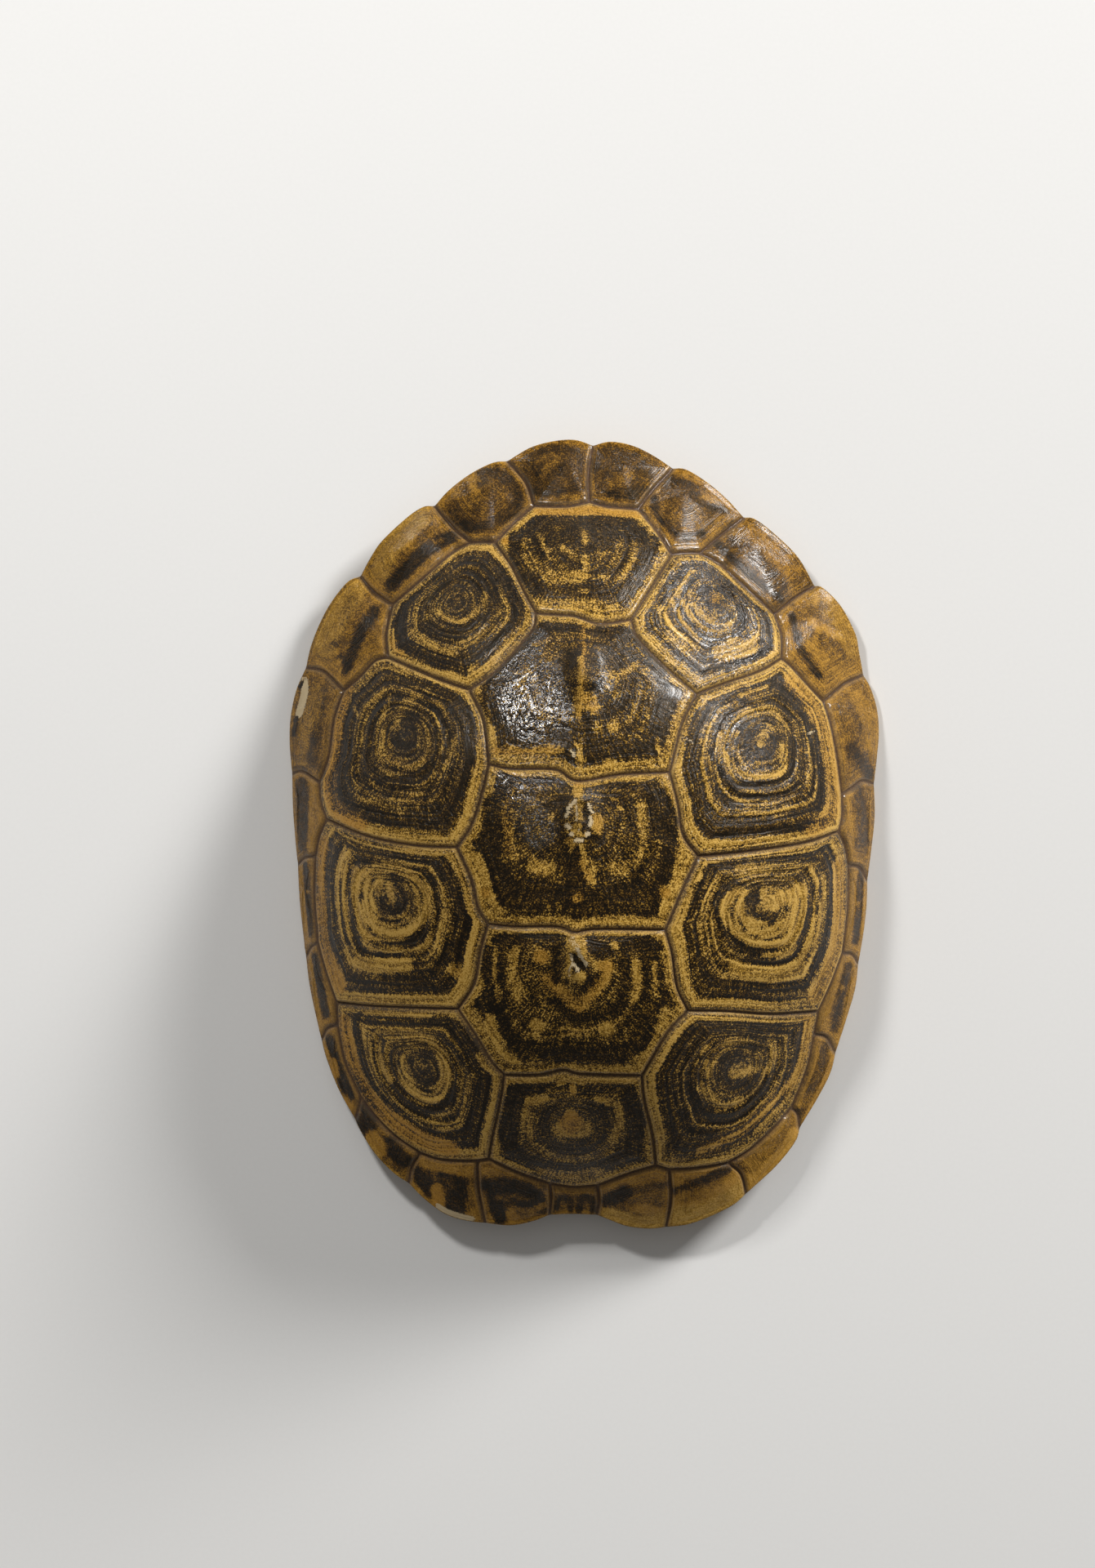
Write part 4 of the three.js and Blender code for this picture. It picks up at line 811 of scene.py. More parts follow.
    ("marginal_E1", WARM): ((1, 4.5, 13, 476, 19, 4, 24, -4, 22, -8, 28, -19),),
    ("marginal_E1", GLOSS): ((-0.42, 15, 70, 436, -2, -16),),
    ("marginal_E2", TONE): (
        (0.36, 28, 125, 405), (0.12, 5, 86, 410, 2, -18, 15, -19, 20, -9, 21, 4),
        (0.28, 9, 106, 431, 17, -4, 13, -9), (0.42, 13, 114, 399, 17, -9), (0.25, 6, 155, 402, 15, -5),
        (0.72, 8, 151, 415, 13, -5), (0.78, 5, 114, 444, 30, -12, 26, -17, 20, -23),
        (0.6, 4, 78, 401, 8, -19, 26, -26),
    ),
    ("marginal_E2", WARM): ((1, 7, 114, 444, 30, -12, 26, -17, 20, -23),),
    ("marginal_E3", TONE): (
        (0.1, 5, 164, 356, 15, -17, 19, -18, 20, -15, 23, -19), (0.38, 7, 179, 360, 24, -19, 30, -28),
        (0.72, 10, 200, 373, 28, -24, 26, -28),
    ),
    ("marginal_E3", WARM): ((1, 13, 200, 373, 28, -24, 26, -28),),
    ("marginal_E3", GLOSS): ((1, 12, 190, 364, 32, -34, 21, -32),),
    ("marginal_W4", TONE): (
        (0.06, 7, -256, 272, -12, -17, -9, -19, -7, -17, -8, -16), (0.74, 14, -280, 296, -23, -34, -15, -31),
        (0.58, 8, -283, 286, -6, -26), (0.2, 1.6, -307, 234, 5, -4, 6, -15, 2, -16),
        (0.9, 1.6, -305, 228, 5, -14, 3, -14),
    ),
    ("marginal_W4", WARM): ((0.5, 16, -280, 296, -23, -34, -15, -31),),
    ("marginal_W5", TONE): (
        (0.68, 12, -327, 169, -10, -38, -7, -36), (0.3, 7, -326, 126, -3, -19, -3, -16),
        (0.4, 2, -317, 167, -4, -29), (0.02, 2.2, -349, 180, 5, 7), (0.02, 2.6, -352, 142, -2, -11, -2, -9),
    ),
    ("marginal_W5", WARM): ((0.6, 14, -327, 169, -10, -38, -7, -36), (1, 4, -351, 107, 0, -9),),
    ("marginal_W5", WORN): (
        (1, 5, -343, 188, 1, -14, -4, -17, -3, -10), (0, 2, -349, 180, 5, 7),
        (0, 2.4, -352, 142, -2, -11, -2, -9),
    ),
    ("marginal_W6", TONE): ((0.16, 8, -346, 62, 2, -48, 2, -31), (0.7, 3.4, -332, 57, -2, -45, -2, -33),),
    ("marginal_E4", TONE): (
        (0.08, 4.5, 255, 267, 5, -24, 6, -21, 12, -14, 9, -15), (0.74, 14, 292, 291, 24, -29, 14, -31),
        # The pale stroke from square (280, 259) is a painted highlight along a ridge of the marginal.
        (0.85, 5, 280, 259, 17, -9, 13, -8), (0.55, 7, 292, 279), (0.66, 8, 278, 231, 14, -19, 19, -9),
    ),
    ("marginal_E4", WARM): ((0.6, 16, 292, 291, 24, -29, 14, -31),),
    ("marginal_E5", TONE): (
        (0.72, 10, 335, 167, 17, -31, 2, -29), (0.4, 4, 313, 153, 8, -22, 4, -24),
        (0.2, 8, 328, 103, 12, -15, 9, -14), (0.7, 3.4, 323, 53, 3, -39, 2, -31),
    ),
    ("marginal_E5", WARM): ((0.8, 12, 335, 167, 17, -31, 2, -29),),
    ("marginal_E6", TONE): (
        (0.28, 7, 337, 53, 4, -29, 2, -36), (0.7, 3.4, 323, 53, 3, -39, 2, -31),
        (0.2, 4.5, 339, -45, -2, -44, -4, -42),
    ),
    ("marginal_W7", TONE): (
        (0.1, 4.6, -342, -39, 3, -40, 3, -43), (0.78, 2.2, -347, -39, 4, -51, 4, -43),
        (0.68, 2.2, -334, -42, 3, -43, 4, -42), (0.5, 3, -338, -71),
    ),
    ("marginal_W8", TONE): (
        (0.1, 5, -331, -151, 7, -30, 8, -40), (0.78, 2.4, -336, -151, 6, -40, 9, -54),
        (0.7, 2.4, -324, -143, 7, -32, 11, -54),
    ),
    ("marginal_W9", TONE): (
        (0.07, 6.5, -311, -253, 6, -18, 7, -22), (0.08, 8, -295, -301, 9, -18),
        (0.8, 3, -304, -239, 6, -30, 11, -29, 10, -24), (0.8, 4.5, -307, -279, 3, -16),
        (0.8, 4.5, -292, -325, 8, -12), (0.78, 2.4, -320, -253, 9, -26),
    ),
    ("marginal_W9", WARM): ((1, 5, -307, -279, 3, -16), (1, 5, -292, -325, 8, -12),),
    ("marginal_W10", TONE): (
        (0.08, 7, -268, -333, 8, -24), (0.08, 9, -277, -352, 10, -12), (0.08, 10, -239, -380, 14, -16, 6, -4),
        (0.78, 9, -259, -372, 8, -12, -1, -8), (0.78, 3.6, -267, -382, 18, -20, 28, -24),
        (0.35, 4, -245, -398, 20, -14),
    ),
    ("marginal_W10", WARM): ((0.9, 10, -259, -372, 8, -12, -1, -8), (0.6, 6, -267, -382, 18, -20, 28, -24),),
    ("marginal_E7", TONE): (
        (0.2, 4.5, 339, -45, -2, -44, -4, -42), (0.74, 2.2, 346, -57, -3, -44, -5, -50),
        (0.72, 2.4, 333, -45, -5, -50, -4, -47), (0.6, 3.5, 336, -85),
    ),
    ("marginal_E8", TONE): (
        (0.2, 5, 324, -160, -9, -38, -8, -41), (0.74, 2.4, 318, -154, -12, -41, -11, -41),
        (0.74, 2.6, 336, -166, -12, -47, -13, -45), (0.5, 3.5, 317, -189),
    ),
    ("marginal_E9", TONE): (
        (0.34, 7, 297, -260, -8, -29, -12, -32, -9, -18), (0.62, 4, 289, -254, -9, -29, -12, -29, -9, -21),
        (0.74, 4, 308, -268, -11, -33, -17, -32, -12, -26), (0.5, 5, 262, -345, -11, -11),
    ),
    ("marginal_E9", WARM): ((0.9, 5, 308, -268, -11, -33, -17, -32, -12, -26),),
    # Along the head rim, the palest strokes of marginal_E10 and its WARM stroke are orange horn that is
    # brightened by painted light.
    ("marginal_E10", TONE): (
        (0.5, 5, 262, -345, -11, -11), (0.72, 4, 264, -368, -19, -27),
        (0.8, 12, 115, -458, 30, 4, 30, 14, 18, 16), (0.3, 4, 187, -402, 14, -10),
        (0.5, 6, 203, -398, 18, 12, 12, 8), (0.9, 9, 205, -430, 20, 18, 22, 22, 12, 20),
    ),
    ("marginal_E10", WARM): ((0.8, 10, 209, -430, 20, 20, 18, 20, 14, 20),),
    ("marginal_W11", TONE): (
        (0.06, 11, -199, -416, 8, -20), (0.06, 11, -169, -420, 20, -12, -4, -26), (0.08, 8, -165, -438, 0, -20),
        (0.3, 2, -199, -410, 22, -10, 20, -12), (0.72, 5, -197, -404, 28, -6, 28, -4),
        (0.85, 8, -180, -436, 2, -10, -1, -12), (0.78, 4.5, -210, -430, 15, -20), (0.5, 5, -137, -428, -2, -26),
        (0.76, 7, -137, -466), (0.7, 5, -127, -458, 12, -16),
    ),
    ("marginal_W11", WARM): ((1, 9, -180, -436, 2, -10, -1, -12),),
    ("marginal_W11", WORN): ((1, 3.6, -179, -456, 12, -7, 14, -5, 16, -4),),
    ("marginal_W12", TONE): (
        (0.66, 6, -125, -412, 10, -6), (0.06, 10, -117, -430, 24, 0, 26, -8), (0.06, 10, -109, -442, 6, -28),
        (0.06, 9, -57, -444, 4, -12), (0.1, 8, -85, -446, 22, -6), (0.7, 5, -127, -458, 12, -16),
        (0.8, 7, -89, -466, 2, -6), (0.62, 4, -67, -462, 20, 8), (0.5, 2.6, -99, -408, 24, -10, 28, -16),
        (0.4, 2, -109, -446, 24, 4, 16, -6),
    ),
    ("marginal_W12", WARM): ((0.9, 8, -89, -466, 2, -6),),
    ("nuchal", TONE): (
        (0.74, 3, -37, -436, 48, -1), (0.14, 4, -34, -458, 3, 10, 8, 2, 6, -4, 1, -10),
        (0.14, 4, -6, -462, 1, 12, 8, 4, 7, -6, 1, -10), (0.75, 3, -23, -462), (0.75, 3, 1, -463),
        (0.14, 4.5, -5, -458, 1, 10, 7, 3, 7, -3, 1, -8),
    ),
    # Along the head rim, the palest strokes of marginal_E12 and its WARM stroke are orange horn that is
    # brightened by painted light.
    ("marginal_E12", TONE): (
        (0.05, 9, 29, -450, 10, 6, 14, 6), (0.6, 4, 25, -434, 24, 8, 26, 8), (0.7, 5, 85, -418, 16, -4),
        (0.3, 5, 65, -436, 20, 4, 18, 2), (0.45, 9, 65, -448, 20, 6), (0.18, 3, 75, -466, 10, 6),
        (0.98, 9, 31, -466, 34, -10, 32, 0), (0.85, 6, 65, -458, 32, -6),
    ),
    ("marginal_E12", WARM): ((0.4, 12, 31, -466, 34, -10, 32, 0),),
    # Along the head rim, the palest strokes of marginal_E11 and its WARM stroke are orange horn that is
    # brightened by painted light.
    ("marginal_E11", TONE): (
        (0.12, 6, 113, -438, 20, 8, 22, 10, 20, 10), (0.6, 3, 113, -418, 28, 5, 30, 9),
        (0.8, 12, 115, -458, 30, 4, 30, 14, 18, 16), (1, 6, 115, -472, 34, 4, 32, 16, 14, 12),
        (0.5, 8, 121, -444, 24, 4),
    ),
    ("marginal_E11", WARM): ((0.4, 12, 115, -468, 30, 4, 30, 14, 18, 12),),
}


# --------------------------------------------------------------------------------------------- the scutes

# Growth rings from the seam to the areola: the growth, how light the horn is there and how far it stands out.
RingRow = tuple[float, float, float]
COSTAL_RINGS: tuple[RingRow, ...] = (
    (0.94, 0.6, 0.1), (0.915, 0.66, 0.3), (0.89, 0.66, 0.4), (0.868, 0.55, 0.3), (0.848, 0.2, 0.1),
    (0.82, 0.12, 0.0), (0.785, 0.12, 0.2), (0.75, 0.13, 0.35), (0.715, 0.16, 0.2), (0.688, 0.25, 0.0),
    (0.662, 0.4, 0.4), (0.636, 0.38, 0.6), (0.61, 0.4, 0.3), (0.585, 0.35, 0.5), (0.56, 0.26, 0.0),
    (0.535, 0.2, -0.3), (0.508, 0.2, -0.1), (0.48, 0.26, 0.3), (0.452, 0.35, 0.8), (0.426, 0.26, 0.1),
    (0.4, 0.25, -0.5), (0.374, 0.35, 0.6), (0.347, 0.32, 0.2), (0.32, 0.32, 0.0), (0.292, 0.38, 0.5),
    (0.26, 0.3, 0.1), (0.225, 0.28, 0.0), (0.18, 0.3, 0.2), (0.13, 0.3, 0.1), (0.08, 0.3, 0.1),
    (0.04, 0.3, 0.1),
)
VERTEBRAL_RINGS: tuple[RingRow, ...] = (
    (0.94, 0.6, 0.04), (0.915, 0.6, 0.12), (0.89, 0.52, 0.12), (0.868, 0.32, 0.08), (0.845, 0.14, 0.04),
    (0.815, 0.12, 0), (0.78, 0.12, 0.08), (0.745, 0.12, 0.12), (0.71, 0.16, 0.04), (0.68, 0.24, 0),
    (0.65, 0.29, 0.12), (0.62, 0.26, 0.16), (0.59, 0.23, 0.04), (0.56, 0.2, 0), (0.53, 0.21, 0.08),
    (0.5, 0.22, 0.16), (0.465, 0.26, 0.04), (0.43, 0.24, 0), (0.395, 0.2, 0.12), (0.36, 0.2, 0.04),
    (0.32, 0.22, 0), (0.28, 0.22, 0.08), (0.24, 0.22, 0), (0.2, 0.22, 0), (0.155, 0.24, 0),
    (0.11, 0.24, 0), (0.07, 0.24, 0), (0.035, 0.24, 0),
)
MARGINAL_RINGS: tuple[RingRow, ...] = (
    (0.9, 0.62, 0.1), (0.82, 0.55, 0.3), (0.74, 0.5, 0.1), (0.66, 0.48, 0.3), (0.57, 0.45, 0.1),
    (0.47, 0.45, 0.2), (0.36, 0.45, 0.1), (0.24, 0.45, 0.1), (0.12, 0.45, 0.1),
)


@dataclass(frozen=True)
class Habit:
    """A kind of scute before its strokes: its rings, how orange and soft it is, its fine lines and fibres."""

    rings: tuple[RingRow, ...]
    warm: float
    soft: float
    lines: float
    fibres: float


class Kind(Enum):
    """The kinds of scute, with their look."""

    COSTAL = Habit(COSTAL_RINGS, warm=0.3, soft=0.0, lines=1.2, fibres=1.0)
    VERTEBRAL = Habit(VERTEBRAL_RINGS, warm=0.3, soft=0.0, lines=0.6, fibres=1.0)
    MARGINAL = Habit(MARGINAL_RINGS, warm=0.8, soft=0.65, lines=0.6, fibres=0.12)


# How light the horn of some scutes is, within their borders, against the rest. The raise on marginal_E10 and
# marginal_E11 is painted light on the head rim.
SHADES: dict[str, float] = {
    "costal_W3": 0.56, "costal_E3": 0.76, "costal_W4": 0.62, "costal_E4": 0.94, "costal_E1": 0.76,
    "costal_W1": 0.94, "costal_W2": 1.1, "costal_E2": 1.2, "vertebral_4": 0.8, "vertebral_5": 0.82,
    "vertebral_1": 1.2, "vertebral_2": 1.18, "marginal_E1": 0.58, "marginal_W1": 0.58, "marginal_E2": 0.72,
    "marginal_W2": 0.78, "marginal_E3": 0.66, "marginal_W3": 0.88, "marginal_E4": 0.88, "marginal_W4": 0.94,
    "marginal_E5": 0.82, "marginal_W5": 0.78, "marginal_E6": 0.88, "marginal_E10": 1.16, "marginal_E11": 1.16,
}


@dataclass
class SeamNet:
    """The seams' points, which the scutes on both sides of a seam share."""

    net: Net
    dome: Dome
    spacing: float = 0.9
    depth: float = 0.85
    full_depth_inset: float = 7.0
    notch_half_width: float = 0.5
    corner_point: dict[str, int] = field(default_factory=dict)
    place: dict[int, np.ndarray] = field(default_factory=dict)
    lines: dict[tuple[str, str], np.ndarray] = field(default_factory=dict)

    def lay(self) -> None:
        """Adds the points of every seam to the net."""
        for seam in ALL_SEAMS:
            line = seam.line(self.spacing)
            depth = self.depth_at(self.dome.inset(line))
            raised, seam_distance = -depth, np.zeros(len(line))
            if seam.on_rim:
                gap = np.linalg.norm(line[:, None] - NOTCHES, axis=2).min(axis=1)
                raised = -depth * np.exp(-((gap / self.notch_half_width) ** 2))
                seam_distance = gap
            paint = {"growth": 1.0, "seam": seam_distance, "tone": 0.62, "warm": 0.25, "top": 1.0}
            numbers = self.net.add(self.dome.top(line, raised), paint, np.zeros((len(line), 3)))
            for spot, corner in ((0, seam.start), (-1, seam.end)):
                numbers[spot] = self.corner_point.setdefault(corner, int(numbers[spot]))
            for number, spot in zip(numbers, line):
                self.place.setdefault(int(number), spot)
            self.lines[seam.start, seam.end] = numbers
            self.lines[seam.end, seam.start] = numbers[::-1]

    def depth_at(self, inset: np.ndarray) -> np.ndarray:
        """The grooves' depth at some distances inside the outline, less near it."""
        return self.depth * (0.35 + 0.65 * smoothstep(0, self.full_depth_inset, inset))

    def loop(self, corners: tuple[str, ...]) -> np.ndarray:
        """The closed ring of points around some corners.

        Args:
            corners: The corners, in order either way round.

        Returns:
            The points' numbers, counterclockwise from above.
        """
        pairs = list(zip(corners, corners[1:] + corners[:1]))
        loop = np.concatenate([self.lines[pair][:-1] for pair in pairs])
        x, y = self.places(loop).T
        area = np.sum(x * np.roll(y, -1) - np.roll(x, -1) * y)
        return loop if area > 0 else loop[::-1]

    def places(self, points: np.ndarray) -> np.ndarray:
        """The plan places of some of the seams' points."""
        return np.array([self.place[int(point)] for point in points])


@dataclass
class Scute:
    """One scute: the groove's side just inside its seams, then its growth rings, down to the areola."""

    name: str
    number: int
    kind: Kind
    corners: tuple[str, ...]
    offsets: tuple[float, ...] = (0.28, 0.6, 1.0, 1.5)
    inner_growth: float = 0.94
    groove: float = 0.5
    rim_pull: float = 0.4
    least_slant: float = 0.42
    least_gap: float = 0.56
    unevenness: float = 0.02
    lip_height: float = 0.12
    lip_inset: float = 1.25
    pillow_height: float = 0.35

    def grow(self, net: Net, seams: SeamNet) -> None:
        """Adds the scute's points and faces.

        Args:
            net: The net to add to.
            seams: The seams that lie in it.
        """
        loop = seams.loop(self.corners)
        edge = seams.places(loop)
        spot = AREOLAE.get(self.name)
        middle = np.array(spot) * SQUARE if spot else edge.mean(axis=0)
        if self.name.startswith("marginal"):
            corner = np.array(CORNERS[self.corners[0]]) * SQUARE
            middle = middle * (1 - self.rim_pull) + corner * self.rim_pull
        spoke = edge - middle
        length = np.linalg.norm(spoke, axis=1)
        along = np.roll(edge, -1, axis=0) - np.roll(edge, 1, axis=0)
        normal = np.column_stack([along[:, 1], -along[:, 0]])
        facing = np.sum(normal * spoke, axis=1) / (np.linalg.norm(normal, axis=1) * length + 1e-9)
        facing = np.convolve(np.tile(facing, 3), np.ones(5) / 5, "same")[len(edge): 2 * len(edge)]
        slant = np.clip(facing, self.least_slant, 1.0)
        bearing = np.degrees(np.arctan2(spoke[:, 1], spoke[:, 0]))
        widest = self.offsets[-1]
        fall = 1 - self.inner_growth
        shares = [(1 - off / (slant * length), 1 - fall * off / widest) for off in self.offsets]
        last = shares[-1][0]
        rounded = self.rounded(length * last) / (length * last)
        for growth, _, _ in self.kind.value.rings:
            if growth < self.inner_growth:
                sharp = smoothstep(0.2, self.inner_growth, np.float64(growth))
                form = last * (sharp + (1 - sharp) * rounded) * self.waves(np.radians(bearing), growth)
                shares.append((form * growth / self.inner_growth, growth))
        spokes_on, kept_places = np.arange(len(loop)), edge
        rows: list[tuple[np.ndarray, np.ndarray, float]] = []
        for share, growth in shares:
            kept = thinned(kept_places, seams.spacing * self.least_gap)
            spokes_on = spokes_on[kept]
            kept_places = middle + spoke[spokes_on] * share[spokes_on][:, None]
            rows.append((spokes_on, kept_places, growth))
        rows.append((np.zeros(1, dtype=int), middle[None], 0.0))
        places = np.vstack([row[1] for row in rows])
        growths = np.concatenate([np.full(len(on), growth) for on, _, growth in rows])
        paint = self.paint(places, growths, self.inner_seams(seams))
        points = seams.dome.top(places, self.relief(places, paint, seams))
        arms = places - middle
        away = np.linalg.norm(arms, axis=1, keepdims=True)
        spokes = np.hstack([arms / np.maximum(away, 1e-6) * self.kind.value.fibres, away])
        numbers = net.add(points, paint, spokes)
        ring = Ring(np.arange(len(loop)), loop)
        for on, _, _ in rows[:-1]:
            inner = Ring(on, numbers[: len(on)])
            numbers = numbers[len(on):]
            net.bridge(ring, inner)
            ring = inner
        net.close(ring, int(numbers[0]))

    @staticmethod
    def rounded(radius: np.ndarray) -> np.ndarray:
        """A ring with its corners rounded off.

        Args:
            radius: The ring's radius at each of its points.

        Returns:
            The rounded ring's radii.
        """
        count = len(radius)
        shift = np.arange(-count // 4, count // 4 + 1)
        weight = np.exp(-((shift / (count * 0.09)) ** 2))
        return sum(np.roll(radius, int(s)) * w for s, w in zip(shift, weight)) / weight.sum()

    def waves(self, angle: np.ndarray, growth: float) -> np.ndarray:
        """The small unevenness of a ring, which changes slowly from ring to ring.

        Args:
            angle: The bearings of the ring's points.
            growth: The ring's growth, 1 at the seam and 0 at the areola.

        Returns:
            A factor for each point's radius.
        """
        random = np.random.default_rng(self.number + 40)
        fading = 1 - smoothstep(0.78, 0.93, np.float64(growth))
        amount = self.unevenness * smoothstep(0.05, 0.3, np.float64(growth)) * fading
        wave = np.zeros_like(angle)
        for count in range(2, 15):
            phase, drift = random.uniform(0, 2 * math.pi), random.uniform(-9, 9)
            wave += np.sin(count * angle + phase + drift * growth) / count**0.7
        return 1 + amount * wave / 2

    def inner_seams(self, seams: SeamNet) -> list[np.ndarray]:
        """The scute's seams, without its borders on the rim."""
        pairs = zip(self.corners, self.corners[1:] + self.corners[:1])
        return [seams.places(seams.lines[pair]) for pair in pairs if pair[0][0] != "r" or pair[1][0] != "r"]

    def paint(self, places: np.ndarray, growth: np.ndarray, seams: list[np.ndarray]) -> Paint:
        """The scute's ground tones and ridges, with its strokes over them.

        Args:
            places: The points' places in the plan.
            growth: The points' growth.
            seams: The scute's seams.

        Returns:
            The points' values for every paint, a single one where they are all the same.
        """
        habit = self.kind.value
        growths, tones, ridges = zip(*sorted(habit.rings))
        paint = {
            "growth": growth, "seam": nearest_distance(places, seams), "scute": float(self.number), "top": 1.0,
            "tone": np.interp(growth, growths, tones), "ridge": np.interp(growth, growths, ridges),
            "warm": habit.warm, "soft": habit.soft, "lines": habit.lines,
            "worn": 0.0, "gloss": 0.0, "lift": 0.0,
        }
        for channel in Channel:
            name = channel.value
            for value, *stroke in MARKS.get((self.name, channel), ()):
                paint[name] = paint[name] + (value - paint[name]) * stroke_weight(places / SQUARE, *stroke)
        inner = 1.0 if self.kind is Kind.MARGINAL else 1 - smoothstep(0.84, 0.9, growth)
        paint["tone"] = paint["tone"] * (1 + (SHADES.get(self.name, 1.0) - 1) * inner)
        return paint

    def relief(self, places: np.ndarray, paint: Paint, seams: SeamNet) -> np.ndarray:
        """The form of the scute on the dome.

        Args:
            places: The points' places in the plan.
            paint: The points' paint.
            seams: The seams of the shell.

        Returns:
            How far each point stands out from the dome.
        """
        away = paint["seam"]
        inset = seams.dome.inset(places)
        groove = -seams.depth_at(inset) * np.exp(-((away / self.groove) ** 2))
        lip = self.lip_height * np.exp(-(((away - self.lip_inset) / self.groove) ** 2))
        pillow = self.pillow_height * smoothstep(1.0, 7.0, away) * smoothstep(0, 9, inset)
        return groove + lip + pillow + paint["lift"]


def shell_scutes() -> list[Scute]:
    """Lists all of the shell's scutes.

    Returns:
        The scutes of each side from the tail to the head, then those of the middle.
    """

    def named(letter: str, side: Side, count: int) -> str:
        """A corner's name."""
        return f"{letter}0" if count == 0 else f"{letter}{side.value}{count}"

    outer_corner = {2: 5, 4: 4, 6: 3, 8: 2, 12: 1}
    costal_corners = {
        1: ("v2", "c2", "m8", "m9", "m10", "m11", "c1", "v21"),
        2: ("v3", "c3", "m6", "m7", "c2", "v2", "v32"),
        3: ("v4", "c4", "m4", "m5", "c3", "v3", "v43"),
        4: ("v54", "c5", "m2", "m3", "c4", "v4"),
    }
    vertebral_corners = (
        ("vE21", "cE1", "mE12", "mW12", "cW1", "vW21"),
        ("vE32", "vE2", "vE21", "vW21", "vW2", "vW32"),
        ("vE43", "vE3", "vE32", "vW32", "vW3", "vW43"),
        ("vE54", "vE4", "vE43", "vW43", "vW4", "vW54"),
        ("m0", "mE1", "cE5", "vE54", "vW54", "cW5", "mW1"),
    )
    rows: list[tuple[str, Kind, tuple[str, ...]]] = []
    for side in Side:
        for count in range(1, 13):
            between = (named("c", side, outer_corner[count]),) if count in outer_corner else ()
            outer = (named("r", side, count - 1), named("r", side, count))
            corners = (*outer, named("m", side, count), *between, named("m", side, count - 1))
            rows.append((f"marginal_{side.value}{count}", Kind.MARGINAL, corners))
        for count, corners in costal_corners.items():
            around = tuple(corner[0] + side.value + corner[1:] for corner in corners)
            rows.append((f"costal_{side.value}{count}", Kind.COSTAL, around))
    rows.append(("nuchal", Kind.MARGINAL, ("rE12", "rW12", "mW12", "mE12")))
    for count, corners in enumerate(vertebral_corners, 1):
        rows.append((f"vertebral_{count}", Kind.VERTEBRAL, corners))
    return [Scute(name, number, kind, corners) for number, (name, kind, corners) in enumerate(rows)]


# ------------------------------------------------------------------------------------------ the underside


